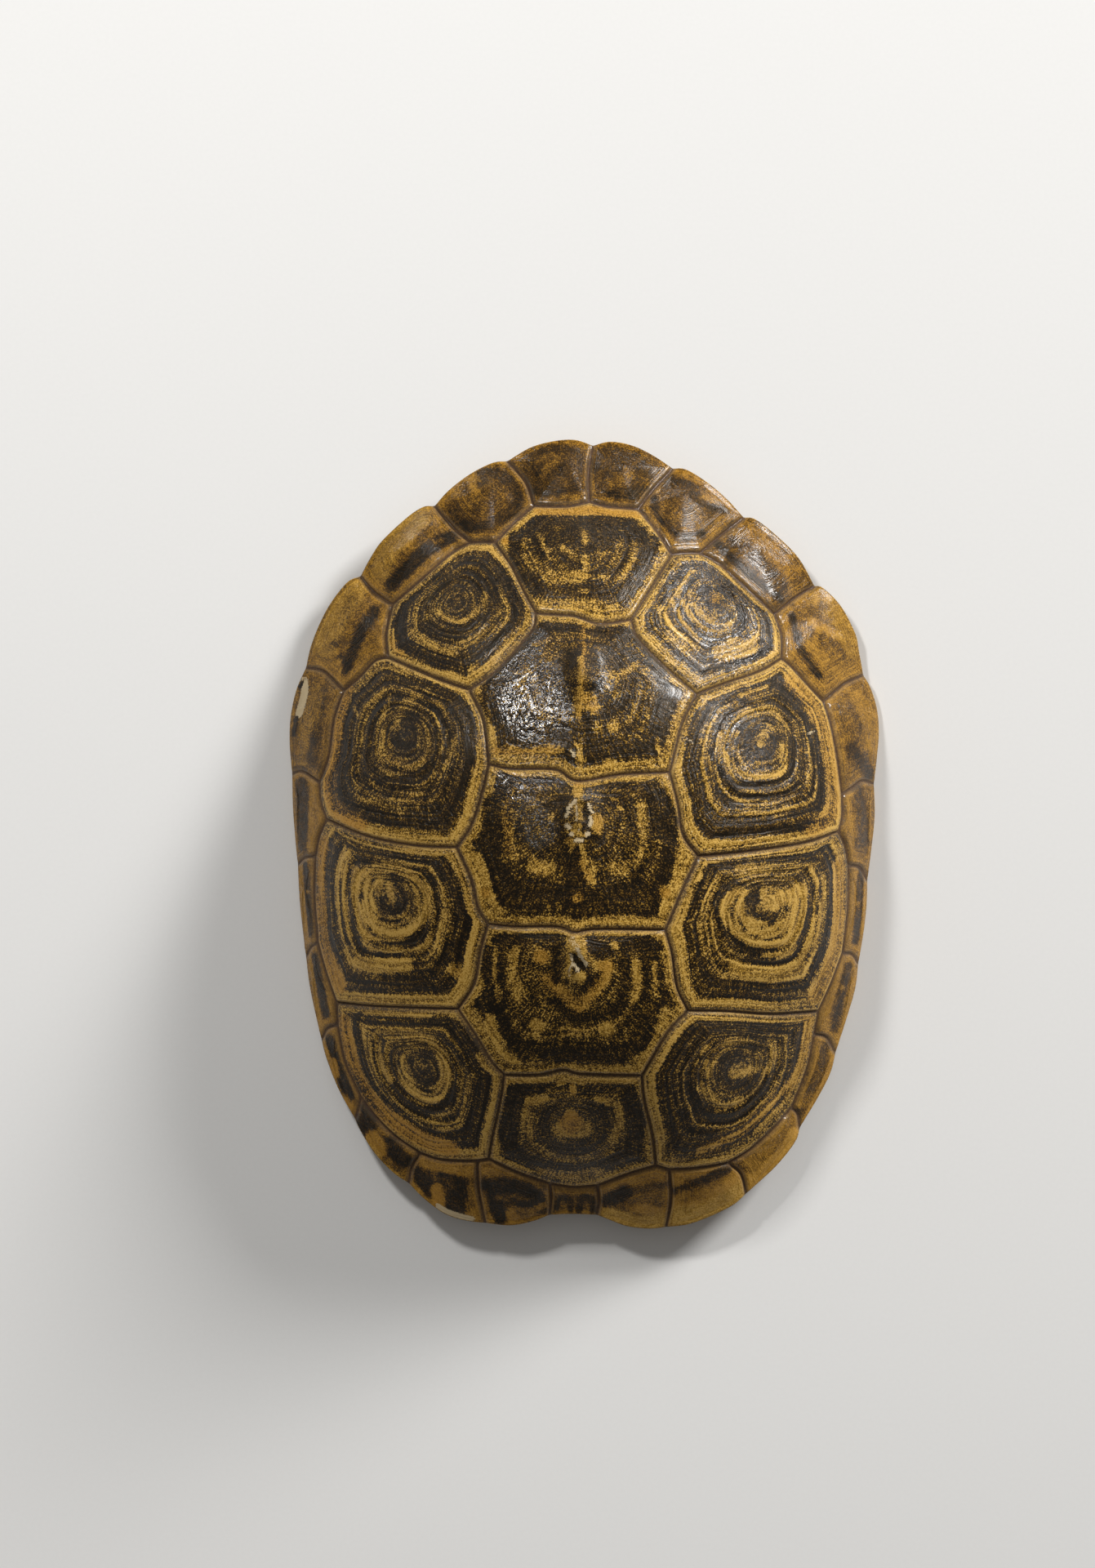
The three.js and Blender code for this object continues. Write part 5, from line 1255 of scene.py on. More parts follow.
@dataclass
class Underside:
    """The rim's lip, the flat band that the shell rests on, the inner wall, and the ribbed inside."""

    dome: Dome
    wall: float = 3.4
    ventral_width: float = 7.0
    ventral_extra: float = 5.5
    inner_wall_run: float = 4.5
    spine_height: float = 4.4
    spine_base: float = 8.5
    spine_top: float = 2.2
    spine_ends: tuple[float, float] = (-78.0, 82.0)
    most_steep: float = 2.0
    rib_height: float = 0.9
    rib_pitch: float = 19.0
    rib_ends: tuple[float, float] = (48.0, 64.0)
    lip_rings: tuple[tuple[float, float], ...] = ((0.02, 0.72), (0.2, 0.45), (0.55, 0.2), (1.0, 0.05))
    band_shares: tuple[float, ...] = (0.12, 0.3, 0.5, 0.7, 0.86)
    wall_shares: tuple[float, ...] = (0.25, 0.5, 0.75)
    inner_shares: tuple[float, float, int] = (0.96, 0.04, 22)
    spine_rings: tuple[float, ...] = (8.5, 7.2, 6.0, 4.9, 3.8, 2.8, 2.0)
    fine: float = 1.2
    coarse: float = 1.5

    def spine_foot(self, places: np.ndarray) -> np.ndarray:
        """The nearest places on the backbone's line."""
        return np.column_stack([np.zeros(len(places)), np.clip(places[:, 1], *self.spine_ends)])

    def inside(self, places: np.ndarray) -> np.ndarray:
        """The bone's inner surface, with its backbone and ribs.

        Args:
            places: Places of the plan.

        Returns:
            The points in space.
        """
        x, y = places[:, 0], places[:, 1]
        step = 0.5
        here = self.dome.height(x, y)
        slope_x = (self.dome.height(x + step, y) - here) / step
        slope_y = (self.dome.height(x, y + step) - here) / step
        steep = np.minimum(self.most_steep, np.sqrt(1 + slope_x**2 + slope_y**2))
        wave = np.cos(y / self.rib_pitch * 2 * math.pi)
        away = np.linalg.norm(places - self.spine_foot(places), axis=1)
        bulge = 1 - smoothstep(self.spine_top, self.spine_base, away)
        spine = self.spine_height * (0.85 + 0.15 * wave) * bulge
        sideways = np.abs(x)
        ribbed = smoothstep(self.spine_base, 2 * self.spine_base, sideways)
        ribbed = ribbed * (1 - smoothstep(*self.rib_ends, sideways))
        return np.column_stack([x, y, here - self.wall * steep - spine - self.rib_height * wave * ribbed])

    def grow(self, net: Net, seams: SeamNet) -> None:
        """Adds the underside's points and faces.

        Args:
            net: The net to add to.
            seams: The seams that lie in it.
        """
        corners = ("r0", *(f"rW{n}" for n in range(1, 13)), *(f"rE{n}" for n in range(12, 0, -1)))
        loop = seams.loop(corners)
        edge = seams.places(loop)
        crown = np.array([0.0, self.dome.crown_y])
        spoke = edge - crown
        angle = np.arctan2(spoke[:, 1], spoke[:, 0])
        way = spoke / np.linalg.norm(spoke, axis=1)[:, None]
        flat = self.dome.rim_height(edge[:, 1]) - self.dome.lip
        ventral = self.ventral_width + self.ventral_extra * flat / self.dome.tail_lift
        notches = NOTCHES - crown
        notch_angle = np.arctan2(notches[:, 1], notches[:, 0])
        first_face = len(net.faces)
        ring = Ring(np.arange(len(loop)), loop)
        places = edge

        def inset(distance: np.ndarray | float, table: np.ndarray) -> np.ndarray:
            """The places at some distance inside the outline."""
            return crown + way * (self.dome.radius(angle, table) - distance)[:, None]

        def step(spots: np.ndarray, heights: np.ndarray | None, band: float, spacing: float) -> None:
            """Adds the next ring.

            Args:
                spots: Its place on every spoke.
                heights: Its height on every spoke, or None on the bone's inner surface.
                band: 1 on horn and 0 on bone.
                spacing: The least distance between its points.
            """
            nonlocal ring, places
            on = ring.on[thinned(places, spacing)]
            places = spots[on]
            points = self.inside(places) if heights is None else np.column_stack([places, heights[on]])
            turn = np.abs((angle[on][:, None] - notch_angle + math.pi) % (2 * math.pi) - math.pi)
            gap = turn.min(axis=1) * np.linalg.norm(places - crown, axis=1)
            tone = 0.72 if band else 0.5
            paint = {"growth": 0.6, "seam": gap, "tone": tone, "warm": 0.5, "soft": 0.65, "top": band}
            inner = Ring(on, net.add(points, paint, np.zeros((len(on), 3))))
            net.bridge(ring, inner)
            ring = inner

        exact, smooth = self.dome.exact, self.dome.smooth
        lip = self.dome.lip
        for distance, share in self.lip_rings:
            step(inset(distance, exact), flat + lip * share, 1.0, 0.0)
        lip_width = self.lip_rings[-1][0]
        for share in self.band_shares:
            width = lip_width + (ventral - lip_width) * share
            blend = smoothstep(0.0, 0.6, np.full(len(edge), share))[:, None]
            spots = inset(width, exact) * (1 - blend) + inset(width, smooth) * blend
            step(spots, flat, 1.0, self.fine)
        outer, inner_edge = inset(ventral, smooth), inset(ventral + self.inner_wall_run, smooth)
        step(outer, flat, 0.0, self.fine)
        wall_top = self.inside(inner_edge)[:, 2]
        for share in self.wall_shares:
            heights = flat + (wall_top - flat) * share
            step(outer + (inner_edge - outer) * share, heights, 0.0, self.fine)
        step(inner_edge, None, 0.0, self.fine)
        spot = inner_edge * [1.0, 0.86]
        foot = self.spine_foot(spot)
        arm = inner_edge - foot
        reach = np.linalg.norm(arm, axis=1)
        out = arm / reach[:, None]
        for share in np.linspace(*self.inner_shares):
            distance = self.spine_base + (reach - self.spine_base) * share
            step(foot + out * distance[:, None], None, 0.0, self.coarse)
        for distance in self.spine_rings:
            step(foot + out * distance, None, 0.0, self.coarse)
        self.close_spine(net, ring)
        net.faces[first_face:] = [rows[:, ::-1] for rows in net.faces[first_face:]]

    def close_spine(self, net: Net, ring: Ring) -> None:
        """Adds the faces across the long narrow ring along the backbone.

        Args:
            net: The net to add to.
            ring: The ring.
        """
        points = np.vstack(net.places)
        y = points[ring.point][:, 1]
        count = len(ring.point)
        back = int(np.argmax(y))
        ahead = back + 1
        faces = []
        for _ in range(count - 2):
            forward = y[(ahead + 1) % count] > y[(back - 1) % count]
            third = ahead + 1 if forward else back - 1
            faces.append([ring.point[i % count] for i in (ahead, third, back)])
            ahead, back = (ahead + 1, back) if forward else (ahead, back - 1)
        net.faces.append(np.array(faces))


# --------------------------------------------------------------------------------------------- the looks


@dataclass
class NodeTree:
    """Short ways to add nodes to a shader or geometry node tree."""

    tree: bpy.types.NodeTree

    def node(self, kind: str, inputs: Inputs | None = None, **settings: object) -> bpy.types.Node:
        """Adds a node.

        Args:
            kind: The node's type.
            inputs: What goes into it.
            settings: Its properties.

        Returns:
            The node.
        """
        node = self.tree.nodes.new(kind)
        for name, value in settings.items():
            setattr(node, name, value)
        self.feed(node, inputs or {})
        return node

    def feed(self, node: bpy.types.Node, inputs: Inputs) -> None:
        """Fills some inputs of a node.

        Args:
            node: The node.
            inputs: The output that is linked to each input, or its plain value.
        """
        for name, value in inputs.items():
            if isinstance(value, bpy.types.NodeSocket):
                self.tree.links.new(value, node.inputs[name])
            else:
                node.inputs[name].default_value = value

    def math(self, operation: str, *values: object, clamp: bool = False) -> bpy.types.NodeSocket:
        """Adds a Math node.

        Args:
            operation: What it does.
            values: What goes into it.
            clamp: Whether the result is kept between 0 and 1.

        Returns:
            Its result.
        """
        node = self.node("ShaderNodeMath", dict(enumerate(values)), operation=operation, use_clamp=clamp)
        return node.outputs[0]

    def vector(self, operation: str, *values: object) -> bpy.types.NodeSocket:
        """Adds a Vector Math node.

        Args:
            operation: What it does.
            values: What goes into it.

        Returns:
            Its result.
        """
        return self.node("ShaderNodeVectorMath", dict(enumerate(values)), operation=operation).outputs[0]

    def mapped(self, value: object, low: float, high: float, to_low: float = 0.0, to_high: float = 1.0,
               smooth: bool = True) -> bpy.types.NodeSocket:
        """Moves a value from one range to another.

        Args:
            value: The value.
            low: The start of its range.
            high: The end of its range.
            to_low: What the start becomes.
            to_high: What the end becomes.
            smooth: Whether the step between is smooth, or straight.

        Returns:
            The moved value.
        """
        inputs = {"Value": value, "From Min": low, "From Max": high, "To Min": to_low, "To Max": to_high}
        kind = "SMOOTHSTEP" if smooth else "LINEAR"
        return self.node("ShaderNodeMapRange", inputs, interpolation_type=kind).outputs["Result"]

    def noise(self, vector: object, scale: float, detail: float = 2.0, roughness: float = 0.5,
              distortion: float = 0.0) -> bpy.types.NodeSocket:
        """Adds a Noise texture.

        Args:
            vector: Where it is read.
            scale: Its scale.
            detail: Its number of finer octaves.
            roughness: The strength of the finer octaves.
            distortion: How far it is warped.

        Returns:
            Its factor.
        """
        inputs = {"Vector": vector, "Scale": scale, "Detail": detail, "Roughness": roughness}
        return self.node("ShaderNodeTexNoise", inputs | {"Distortion": distortion}).outputs["Fac"]

    def mix(self, factor: object, first: object, second: object) -> bpy.types.NodeSocket:
        """Mixes two colours.

        Args:
            factor: The share of the second.
            first: The first colour.
            second: The second colour.

        Returns:
            The mixed colour.
        """
        node = self.node("ShaderNodeMix", data_type="RGBA")
        self.feed(node, {"Factor": factor, "A": first, "B": second})
        return next(socket for socket in node.outputs if socket.type == "RGBA")

    def drift(self, value: object, *sources: tuple[bpy.types.NodeSocket, float]) -> object:
        """Moves a value up and down by some textures.

        Args:
            value: The value.
            sources: The textures, each with its strength.

        Returns:
            The moved value.
        """
        for source, strength in sources:
            shifted = self.math("SUBTRACT", source, 0.5)
            value = self.math("MULTIPLY_ADD", shifted, strength, value)
        return value

    def ramp(self, factor: object, stops: tuple[tuple[float, Color], ...]) -> object:
        """Adds a colour ramp.

        Args:
            factor: Where it is read.
            stops: The place and the colour of each stop.

        Returns:
            The colour.
        """
        node = self.node("ShaderNodeValToRGB")
        elements = node.color_ramp.elements
        for element, (place, color) in zip(elements, (stops[0], stops[-1])):
            element.position, element.color = place, (*color, 1.0)
        for place, color in stops[1:-1]:
            elements.new(place).color = (*color, 1.0)
        self.feed(node, {"Fac": factor})
        return node.outputs["Color"]

    def bump(self, height: object, strength: float, distance: float) -> bpy.types.NodeSocket:
        """Adds a Bump node.

        Args:
            height: What it raises.
            strength: Its strength.
            distance: Its height where that is 1, in metres.

        Returns:
            The bumped normal.
        """
        inputs = {"Height": height, "Strength": strength, "Distance": distance}
        return self.node("ShaderNodeBump", inputs).outputs["Normal"]

    def attribute(self, name: str, output: str = "Fac") -> bpy.types.NodeSocket:
        """One of the mesh's paint values."""
        return self.node("ShaderNodeAttribute", attribute_name=name).outputs[output]


def surface(name: str) -> tuple[bpy.types.Material, NodeTree, bpy.types.Node, bpy.types.NodeSocket]:
    """Makes a material.

    Args:
        name: The material's name.

    Returns:
        The material, its tree, its shader and its object coordinates.
    """
    material = bpy.data.materials.new(name)
    material.use_nodes = True
    nodes = NodeTree(material.node_tree)
    place = nodes.node("ShaderNodeTexCoord").outputs["Object"]
    return material, nodes, material.node_tree.nodes["Principled BSDF"], place


def mottle_group() -> bpy.types.NodeTree:
    """Blotches, specks and pores at three scales, which both materials use.

    Returns:
        The group's tree.
    """
    tree = bpy.data.node_groups.new("Mottle", "ShaderNodeTree")
    tree.interface.new_socket("Place", in_out="INPUT", socket_type="NodeSocketVector")
    for label in ("Blotch", "Speck", "Pore"):
        tree.interface.new_socket(label, in_out="OUTPUT", socket_type="NodeSocketFloat")
    group = NodeTree(tree)
    place = group.node("NodeGroupInput").outputs["Place"]
    out = group.node("NodeGroupOutput")
    blotch = group.mapped(group.noise(place, 230.0, 3.0, 0.6, 0.4), 0.3, 0.7)
    speck = group.mapped(group.noise(place, 2300.0, 2.0, 0.6), 0.36, 0.64)
    cells = group.node("ShaderNodeTexVoronoi", {"Vector": place, "Scale": 900.0}, feature="F1")
    pore = group.mapped(cells.outputs["Distance"], 0.0, 0.34, 1.0, 0.0)
    group.feed(out, {"Blotch": blotch, "Speck": speck, "Pore": pore})
    return tree


@dataclass(frozen=True)
class HornFinish:
    """The scutes' horn: its colours from the darkest to the palest, and its gloss."""

    tones: tuple[tuple[float, Color], ...] = (
        (0.0, (0.0042, 0.0031, 0.0017)),
        (0.25, (0.0135, 0.0088, 0.0034)),
        (0.45, (0.076, 0.043, 0.0075)),
        (0.65, (0.21, 0.12, 0.016)),
        (0.82, (0.36, 0.212, 0.034)),
        (1.0, (0.58, 0.375, 0.095)),
    )
    orange: Tint = (0.36, 0.155, 0.012, 1.0)
    seam: Tint = (0.055, 0.031, 0.025, 1.0)
    pale: Tint = (0.5, 0.39, 0.23, 1.0)
    roughness: float = 0.38
    specular: float = 0.12
    specular_tint: Tint = (1.0, 0.72, 0.42, 1.0)
    coat: float = 0.3
    coat_roughness: float = 0.085
    border: Tint = (0.13, 0.095, 0.06, 1.0)
    bump_strength: float = 0.8
    bump_distance: float = 0.26 * MM

    @staticmethod
    def grain(nodes: NodeTree) -> tuple[bpy.types.NodeSocket, ...]:
        """Adds the horn's grain.

        Args:
            nodes: The material's tree.

        Returns:
            The fibres that run out from the middle of a scute, the wrinkles, and the fine growth lines.
        """
        parts = nodes.node("ShaderNodeSeparateXYZ", {0: nodes.attribute("spoke", "Vector")})
        scute = nodes.attribute("scute")

        def packed(spread: float, depth: bpy.types.NodeSocket) -> bpy.types.NodeSocket:
            """Where a texture is read: the spoke's direction, spread out, and a depth."""
            plane = {axis: nodes.math("MULTIPLY", parts.outputs[axis], spread) for axis in "XY"}
            return nodes.node("ShaderNodeCombineXYZ", plane | {"Z": depth}).outputs[0]

        length = nodes.math("MULTIPLY", parts.outputs["Z"], 0.35)
        along = packed(34.0, nodes.math("ADD", length, nodes.math("MULTIPLY", scute, 13.7)))
        fibre = nodes.mapped(nodes.noise(along, 1.0, 3.0, 0.65), 0.3, 0.7)
        growth = nodes.math("MULTIPLY_ADD", fibre, 0.014, nodes.attribute("growth"))
        across = packed(0.8, nodes.math("MULTIPLY_ADD", growth, 33.0, scute))
        line = nodes.mapped(nodes.noise(across, 1.0, 3.0, 0.62), 0.33, 0.67)
        short = nodes.vector("MULTIPLY", across, (5.0, 5.0, 0.45))
        wrinkle = nodes.mapped(nodes.noise(short, 1.0, 2.0, 0.5, 0.6), 0.3, 0.7)
        line = nodes.math("SUBTRACT", line, 0.5)
        return fibre, wrinkle, nodes.math("MULTIPLY_ADD", line, nodes.attribute("lines"), 0.5)

    def material(self, mottle: bpy.types.NodeTree) -> bpy.types.Material:
        """Makes the material.

        Args:
            mottle: The group of blotches, specks and pores.

        Returns:
            The material.
        """
        material, nodes, shader, place = surface("horn")
        spots = nodes.node("ShaderNodeGroup", node_tree=mottle)
        nodes.feed(spots, {"Place": place})
        blotch, speck = spots.outputs["Blotch"], spots.outputs["Speck"]
        fibre, wrinkle, line = self.grain(nodes)
        seam = nodes.attribute("seam")

        painted = nodes.attribute("tone")
        ragged = nodes.drift(painted, (fibre, 0.2), (speck, 0.22), (blotch, 0.12), (line, 0.22))
        plate = nodes.mapped(ragged, 0.14, 0.68, 0.01, 0.59)
        plate = nodes.math("MULTIPLY_ADD", painted, 0.2, plate)
        soft = nodes.attribute("soft")
        smooth = nodes.mapped(nodes.drift(painted, (blotch, 0.12)), 0.06, 1.0, 0.0, 0.92, False)
        plate = nodes.math("MULTIPLY_ADD", nodes.math("SUBTRACT", smooth, plate), soft, plate)
        grain_strength = nodes.mapped(plate, 0.04, 0.35, 0.5, 1.0)
        grain_strength = nodes.math("MULTIPLY", grain_strength, nodes.mapped(soft, 0.0, 1.0, 1.0, 0.45, False))
        shift = nodes.drift(0.0, (speck, 0.36), (line, 0.5), (fibre, 0.2))
        fleck = nodes.mapped(nodes.math("MULTIPLY_ADD", fibre, 0.6, speck), 0.95, 1.35, 0.0, 0.24)
        fleck = nodes.math("MULTIPLY", fleck, nodes.mapped(soft, 0.0, 1.0, 1.0, 0.1, False))
        tone = nodes.math("MULTIPLY_ADD", shift, grain_strength, nodes.math("ADD", plate, fleck), clamp=True)
        color = nodes.ramp(tone, self.tones)
        warmth = nodes.math("MULTIPLY", nodes.attribute("warm"), tone, clamp=True)
        color = nodes.mix(nodes.math("MULTIPLY", warmth, 0.75), color, self.orange)
        worn = nodes.mapped(nodes.math("MULTIPLY_ADD", speck, 0.3, nodes.attribute("worn")), 0.6, 0.95)
        color = nodes.mix(worn, color, self.pale)
        trench = nodes.mapped(seam, 0.12, 0.6, 1.0, 0.0)
        band = nodes.mapped(seam, 0.6, 1.5, 0.4, 0.0)
        color = nodes.mix(band, color, self.border)
        color = nodes.mix(nodes.math("MULTIPLY", trench, 0.8), color, self.seam)

        rough = nodes.drift(self.roughness, (blotch, 0.3))
        rough = nodes.math("MULTIPLY_ADD", worn, 0.25, rough)
        rough = nodes.math("MULTIPLY_ADD", nodes.attribute("gloss"), -0.2, rough)
        rough = nodes.math("MULTIPLY_ADD", trench, 0.3, rough, clamp=True)
        coat = nodes.math("MULTIPLY_ADD", nodes.attribute("gloss"), 0.7, self.coat, clamp=True)

        # The coat's bump takes its heights from this tree's own nodes, none from the group.
        wrinkled = nodes.math("MULTIPLY", wrinkle, nodes.attribute("gloss"))
        swell = nodes.mapped(nodes.noise(place, 230.0, 3.0, 0.6, 0.4), 0.3, 0.7)
        skin = nodes.drift(nodes.math("MULTIPLY", wrinkled, 1.4), (line, 0.5), (swell, 0.12))
        rough_skin = nodes.drift(skin, (fibre, 0.12), (blotch, 0.3), (speck, 0.07))
        nodes.feed(shader, {
            "Base Color": color, "Roughness": rough, "Coat Weight": coat, "Coat Roughness": self.coat_roughness,
            "IOR": 1.5, "Specular IOR Level": self.specular, "Specular Tint": self.specular_tint,
            "Normal": nodes.bump(rough_skin, self.bump_strength, self.bump_distance),
            "Coat Normal": nodes.bump(skin, self.bump_strength, self.bump_distance),
        })
        return material


@dataclass(frozen=True)
class BoneFinish:
    """The bare bone of the inside: cream, dry, with pores and the jagged sutures between its plates."""

    pale: Color = (0.6, 0.5, 0.35)
    dark: Color = (0.38, 0.28, 0.16)
    suture: Tint = (0.13, 0.08, 0.04, 1.0)
    roughness: float = 0.62
    plate_pitch: float = 19.0 * MM
    jag: float = 5.0 * MM
    bump_strength: float = 0.8
    bump_distance: float = 0.3 * MM

    def material(self, mottle: bpy.types.NodeTree) -> bpy.types.Material:
        """Makes the material.

        Args:
            mottle: The group of blotches, specks and pores.

        Returns:
            The material.
        """
        material, nodes, shader, place = surface("bone")
        spots = nodes.node("ShaderNodeGroup", node_tree=mottle)
        nodes.feed(spots, {"Place": place})
        stain = nodes.noise(place, 28.0, 4.0, 0.6)
        blotch, speck, pore = (spots.outputs[name] for name in ("Blotch", "Speck", "Pore"))
        tone = nodes.drift(stain, (blotch, 0.7), (speck, 0.35))
        color = nodes.ramp(nodes.mapped(tone, 0.25, 0.75), ((0.0, self.dark), (1.0, self.pale)))

        parts = nodes.node("ShaderNodeSeparateXYZ", {0: place})
        along = nodes.drift(parts.outputs["Y"], (nodes.noise(place, 420.0, 2.0), self.jag))
        phase = nodes.math("DIVIDE", along, self.plate_pitch)
        phase = nodes.math("PINGPONG", nodes.math("ADD", phase, 0.5), 0.5)
        gap = nodes.math("MULTIPLY", phase, self.plate_pitch)
        line = nodes.mapped(gap, 0.00012, 0.0005, 1.0, 0.0)
        aside = nodes.mapped(nodes.math("ABSOLUTE", parts.outputs["X"]), 0.009, 0.012)
        line = nodes.math("MULTIPLY", line, aside)
        color = nodes.mix(nodes.math("MULTIPLY", line, 0.7), color, self.suture)
        color = nodes.mix(nodes.math("MULTIPLY", pore, 0.35), color, self.suture)

        height = nodes.math("MULTIPLY_ADD", pore, -0.5, nodes.math("MULTIPLY", speck, 0.5))
        height = nodes.math("MULTIPLY_ADD", line, -0.8, nodes.math("MULTIPLY_ADD", stain, 1.5, height))
        nodes.feed(shader, {
            "Base Color": color, "Roughness": nodes.drift(self.roughness, (blotch, 0.25)), "IOR": 1.5,
            "Normal": nodes.bump(height, self.bump_strength, self.bump_distance),
        })
        return material


@dataclass
class GrowthRidges:
    """The ridges of the growth rings, which stand out along the surface's normals."""

    height: float = 0.38 * MM
    roughness: float = 0.05 * MM
    seed: float = 4.0

    def group(self) -> bpy.types.NodeTree:
        """Makes the geometry node group.

        Returns:
            The group, with its sizes, its seed and both materials as inputs.
        """
        tree = bpy.data.node_groups.new("Growth Ridges", "GeometryNodeTree")
        sockets = (
            ("Geometry", "NodeSocketGeometry"), ("Height", "NodeSocketFloat"), ("Roughness", "NodeSocketFloat"),
            ("Seed", "NodeSocketFloat"), ("Horn", "NodeSocketMaterial"), ("Bone", "NodeSocketMaterial"),
        )
        for label, kind in sockets:
            tree.interface.new_socket(label, in_out="INPUT", socket_type=kind)
        tree.interface.new_socket("Geometry", in_out="OUTPUT", socket_type="NodeSocketGeometry")
        nodes = NodeTree(tree)
        given = nodes.node("NodeGroupInput").outputs

        def named(name: str) -> bpy.types.NodeSocket:
            """One of the mesh's paint values."""
            node = nodes.node("GeometryNodeInputNamedAttribute", {"Name": name}, data_type="FLOAT")
            return node.outputs["Attribute"]

        top = named("top")
        place = nodes.node("GeometryNodeInputPosition").outputs[0]
        noise = nodes.node("ShaderNodeTexNoise", noise_dimensions="4D")
        nodes.feed(noise, {"Vector": place, "W": given["Seed"], "Scale": 210.0, "Detail": 2.0})
        wave = nodes.math("MULTIPLY", nodes.math("SUBTRACT", noise.outputs["Fac"], 0.5), given["Roughness"])
        inside = nodes.mapped(named("seam"), 0.4, 1.6)
        lift = nodes.math("MULTIPLY_ADD", named("ridge"), given["Height"], wave)
        lift = nodes.math("MULTIPLY", nodes.math("MULTIPLY", lift, inside), top)
        normal = nodes.node("GeometryNodeInputNormal").outputs[0]
        offset = nodes.node("ShaderNodeVectorMath", {0: normal, "Scale": lift}, operation="SCALE").outputs[0]
        move = nodes.node("GeometryNodeSetPosition", {"Geometry": given["Geometry"], "Offset": offset})
        real = nodes.node("GeometryNodeRealizeInstances", {"Geometry": move.outputs["Geometry"]})
        geometry = real.outputs["Geometry"]
        horny = nodes.node("FunctionNodeCompare", {0: top, 1: 0.4}, data_type="FLOAT", operation="GREATER_THAN")
        bony = nodes.node("FunctionNodeBooleanMath", {0: horny.outputs[0]}, operation="NOT")
        for label, chosen in (("Bone", bony), ("Horn", horny)):
            inputs = {"Geometry": geometry, "Selection": chosen.outputs[0], "Material": given[label]}
            geometry = nodes.node("GeometryNodeSetMaterial", inputs).outputs["Geometry"]
        nodes.node("NodeGroupOutput", {"Geometry": geometry})
        return tree

    def apply(self, piece: bpy.types.Object, horn: bpy.types.Material, bone: bpy.types.Material) -> None:
        """Raises the ridges of a piece and gives its faces their materials, as a plain mesh.

        Args:
            piece: The shell.
            horn: The material of the outside and the rim's band.
            bone: The material of the inside.
        """
        modifier = piece.modifiers.new("Growth Ridges", "NODES")
        modifier.node_group = self.group()
        given = {
            "Height": self.height, "Roughness": self.roughness, "Seed": self.seed, "Horn": horn, "Bone": bone,
        }
        for item in modifier.node_group.interface.items_tree:
            if item.in_out == "INPUT" and item.name in given:
                modifier[item.identifier] = given[item.name]
        graph = bpy.context.evaluated_depsgraph_get()
        mesh = bpy.data.meshes.new_from_object(piece.evaluated_get(graph), depsgraph=graph)
        piece.modifiers.clear()
        old, piece.data = piece.data, mesh
        mesh.name = piece.name
        bpy.data.meshes.remove(old)


# ------------------------------------------------------------------------------------------- the assembly


def placed(name: str, data: bpy.types.ID) -> bpy.types.Object:
    """Adds an object to the scene, at the origin.

    Args:
        name: The object's name.
        data: Its mesh, lamp or camera.

    Returns:
        The object.
    """
    piece = bpy.data.objects.new(name, data)
    bpy.context.scene.collection.objects.link(piece)
    return piece


@dataclass
class Carapace:
    """The whole shell as one closed mesh."""

    dome: Dome = field(default_factory=Dome)
    ridges: GrowthRidges = field(default_factory=GrowthRidges)
    horn: HornFinish = field(default_factory=HornFinish)
    bone: BoneFinish = field(default_factory=BoneFinish)

    def build(self) -> bpy.types.Object:
        """Makes the shell where its CAD node is.

        Returns:
            The shell.
        """
        net = Net()
        seams = SeamNet(net, self.dome)
        seams.lay()
        for scute in shell_scutes():
            scute.grow(net, seams)
        Underside(self.dome).grow(net, seams)
        low, high = (np.array(corner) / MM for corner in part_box(NODE))
        points = np.vstack(net.places)
        shift = (low + high - points.min(axis=0) - points.max(axis=0)) / 2
        shift[2] = low[2] - points[:, 2].min()
        piece = placed("shell", net.mesh("shell", shift))
        mottle = mottle_group()
        self.ridges.apply(piece, self.horn.material(mottle), self.bone.material(mottle))
        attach(piece, "root")
        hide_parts(NODE)
        triangles = sum(len(face.vertices) - 2 for face in piece.data.polygons)
        LOG.info("shell: %d points, %d triangles", len(piece.data.vertices), triangles)
        return piece


@dataclass(frozen=True)
class Softbox:
    """A soft square lamp that points at the shell."""

    name: str
    place: tuple[float, float, float]
    size: float
    watts: float

    def build(self) -> None:
        """Makes the lamp."""
        light = bpy.data.lights.new(self.name, "AREA")
        light.size, light.energy = self.size, self.watts
        lamp = placed(self.name, light)
        lamp.location = self.place
        aim = Vector((0.0, 0.0, 0.02)) - lamp.location
        lamp.rotation_euler = aim.to_track_quat("-Z", "Y").to_euler()


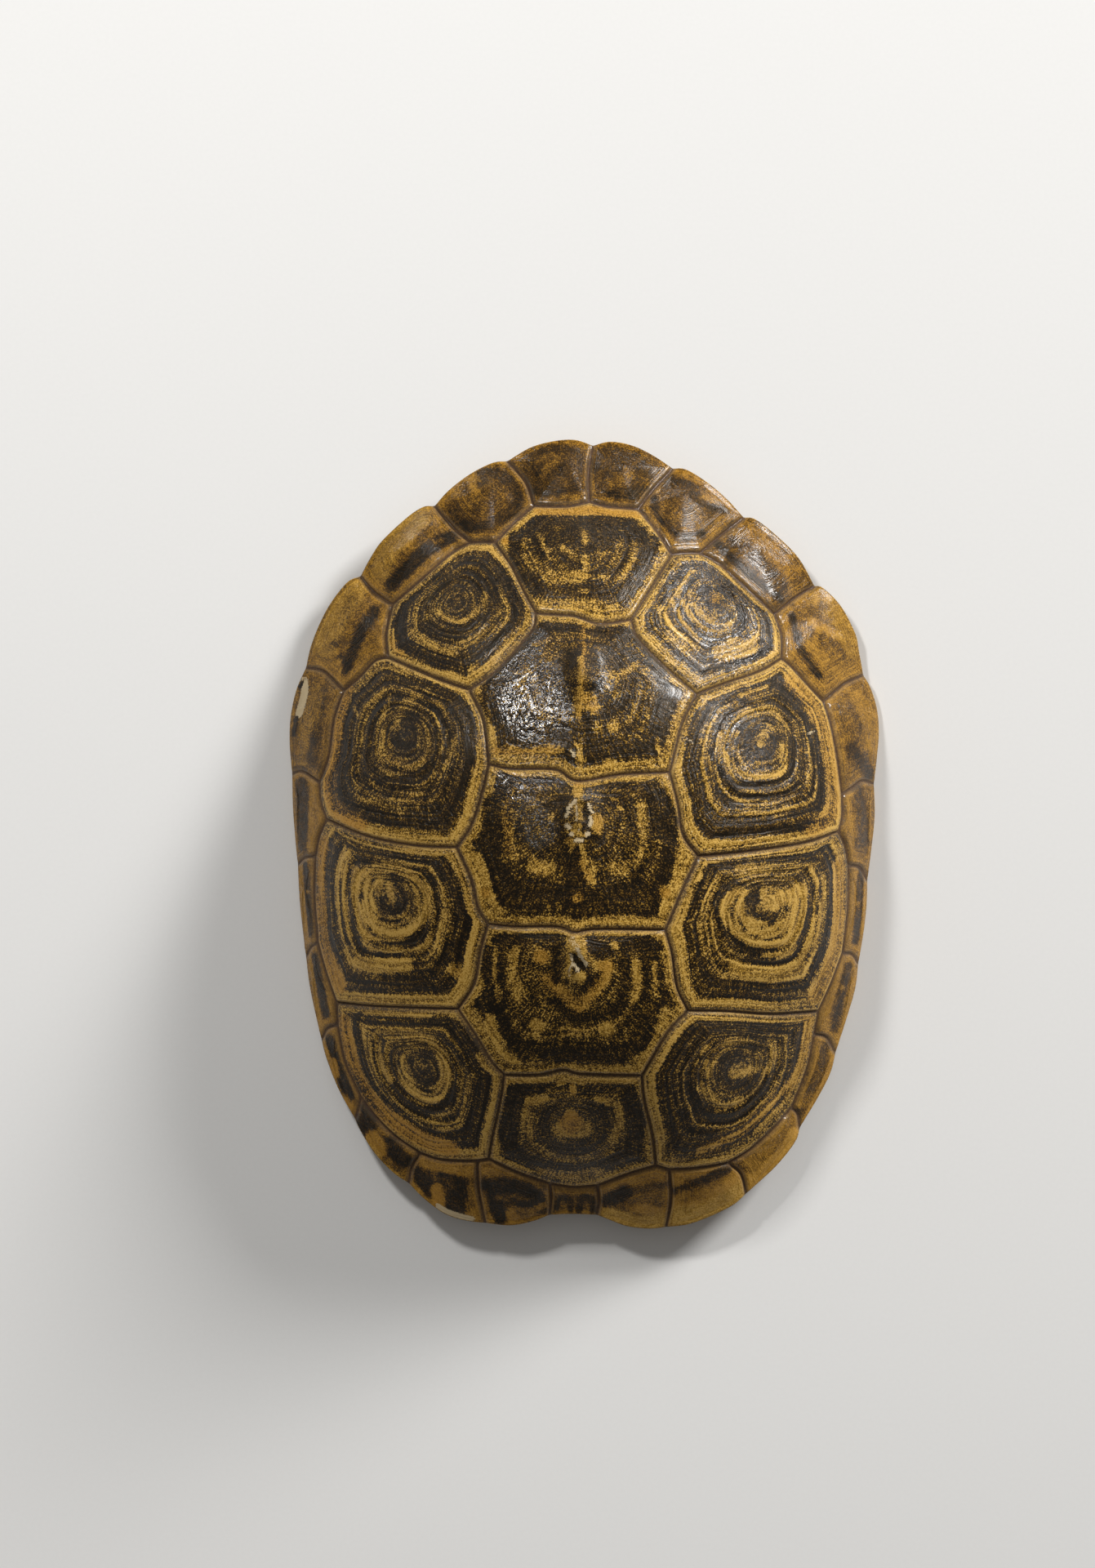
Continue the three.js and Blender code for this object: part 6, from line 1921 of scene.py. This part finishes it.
@dataclass
class Studio:
    """The plain floor, the soft light and the camera straight above."""

    floor_size: float = 3.0
    floor_color: Tint = (0.74, 0.73, 0.71, 1.0)
    world_strength: float = 0.21
    lamps: tuple[Softbox, ...] = (
        Softbox("key", (1.55, 1.5, 0.87), 0.6, 70.0),
        Softbox("fill", (-0.5, 0.78, 0.88), 0.15, 8.2),
    )
    view_height: float = 0.4458
    camera_distance: float = 8.0
    camera_aim: tuple[float, float] = (-0.01045, 0.01428)

    def build(self) -> None:
        """Makes the studio."""
        self.floor()
        for lamp in self.lamps:
            lamp.build()
        world = bpy.data.worlds.new("studio")
        world.use_nodes = True
        sky = world.node_tree.nodes["Background"]
        sky.inputs["Color"].default_value = (1.0, 0.99, 0.97, 1.0)
        sky.inputs["Strength"].default_value = self.world_strength
        bpy.context.scene.world = world
        bpy.context.scene.view_settings.view_transform = "Standard"
        self.camera()

    def floor(self) -> None:
        """Makes the floor that the shell lies on."""
        half = self.floor_size / 2
        mesh = bpy.data.meshes.new("floor")
        corners = [(-half, -half, 0.0), (half, -half, 0.0), (half, half, 0.0), (-half, half, 0.0)]
        mesh.from_pydata(corners, [], [(0, 1, 2, 3)])
        material, nodes, shader, place = surface("floor")
        grain = nodes.mapped(nodes.noise(place, 900.0, 2.0), 0.2, 0.8, 0.985, 1.0)
        shade = nodes.node("ShaderNodeVectorMath", {0: self.floor_color[:3], "Scale": grain}, operation="SCALE")
        nodes.feed(shader, {"Base Color": shade.outputs[0], "Roughness": 0.85})
        mesh.materials.append(material)
        floor = placed("floor", mesh)
        floor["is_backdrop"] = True

    def camera(self) -> None:
        """Makes the camera, whose sensor is as tall as the image's long side."""
        data = bpy.data.cameras.new("camera")
        data.sensor_fit = "AUTO"
        data.sensor_width = 36.0
        data.lens = data.sensor_width * self.camera_distance / self.view_height
        data.clip_end = 100.0
        data.dof.use_dof = False
        camera = placed("camera", data)
        camera.location = (*self.camera_aim, self.camera_distance + 0.02)
        bpy.context.scene.camera = camera


def main() -> None:
    """Builds the shell and its studio."""
    Studio().build()
    Carapace().build()
    boxes = {"cad": CAD_BOX, "visual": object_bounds()}
    plain = {name: [[float(value) for value in corner] for corner in box] for name, box in boxes.items()}
    for name, (low, high) in plain.items():
        LOG.info("%s box: %s", name, [round((b - a) / MM, 2) for a, b in zip(low, high)])


if __name__ == "__main__":
    main()
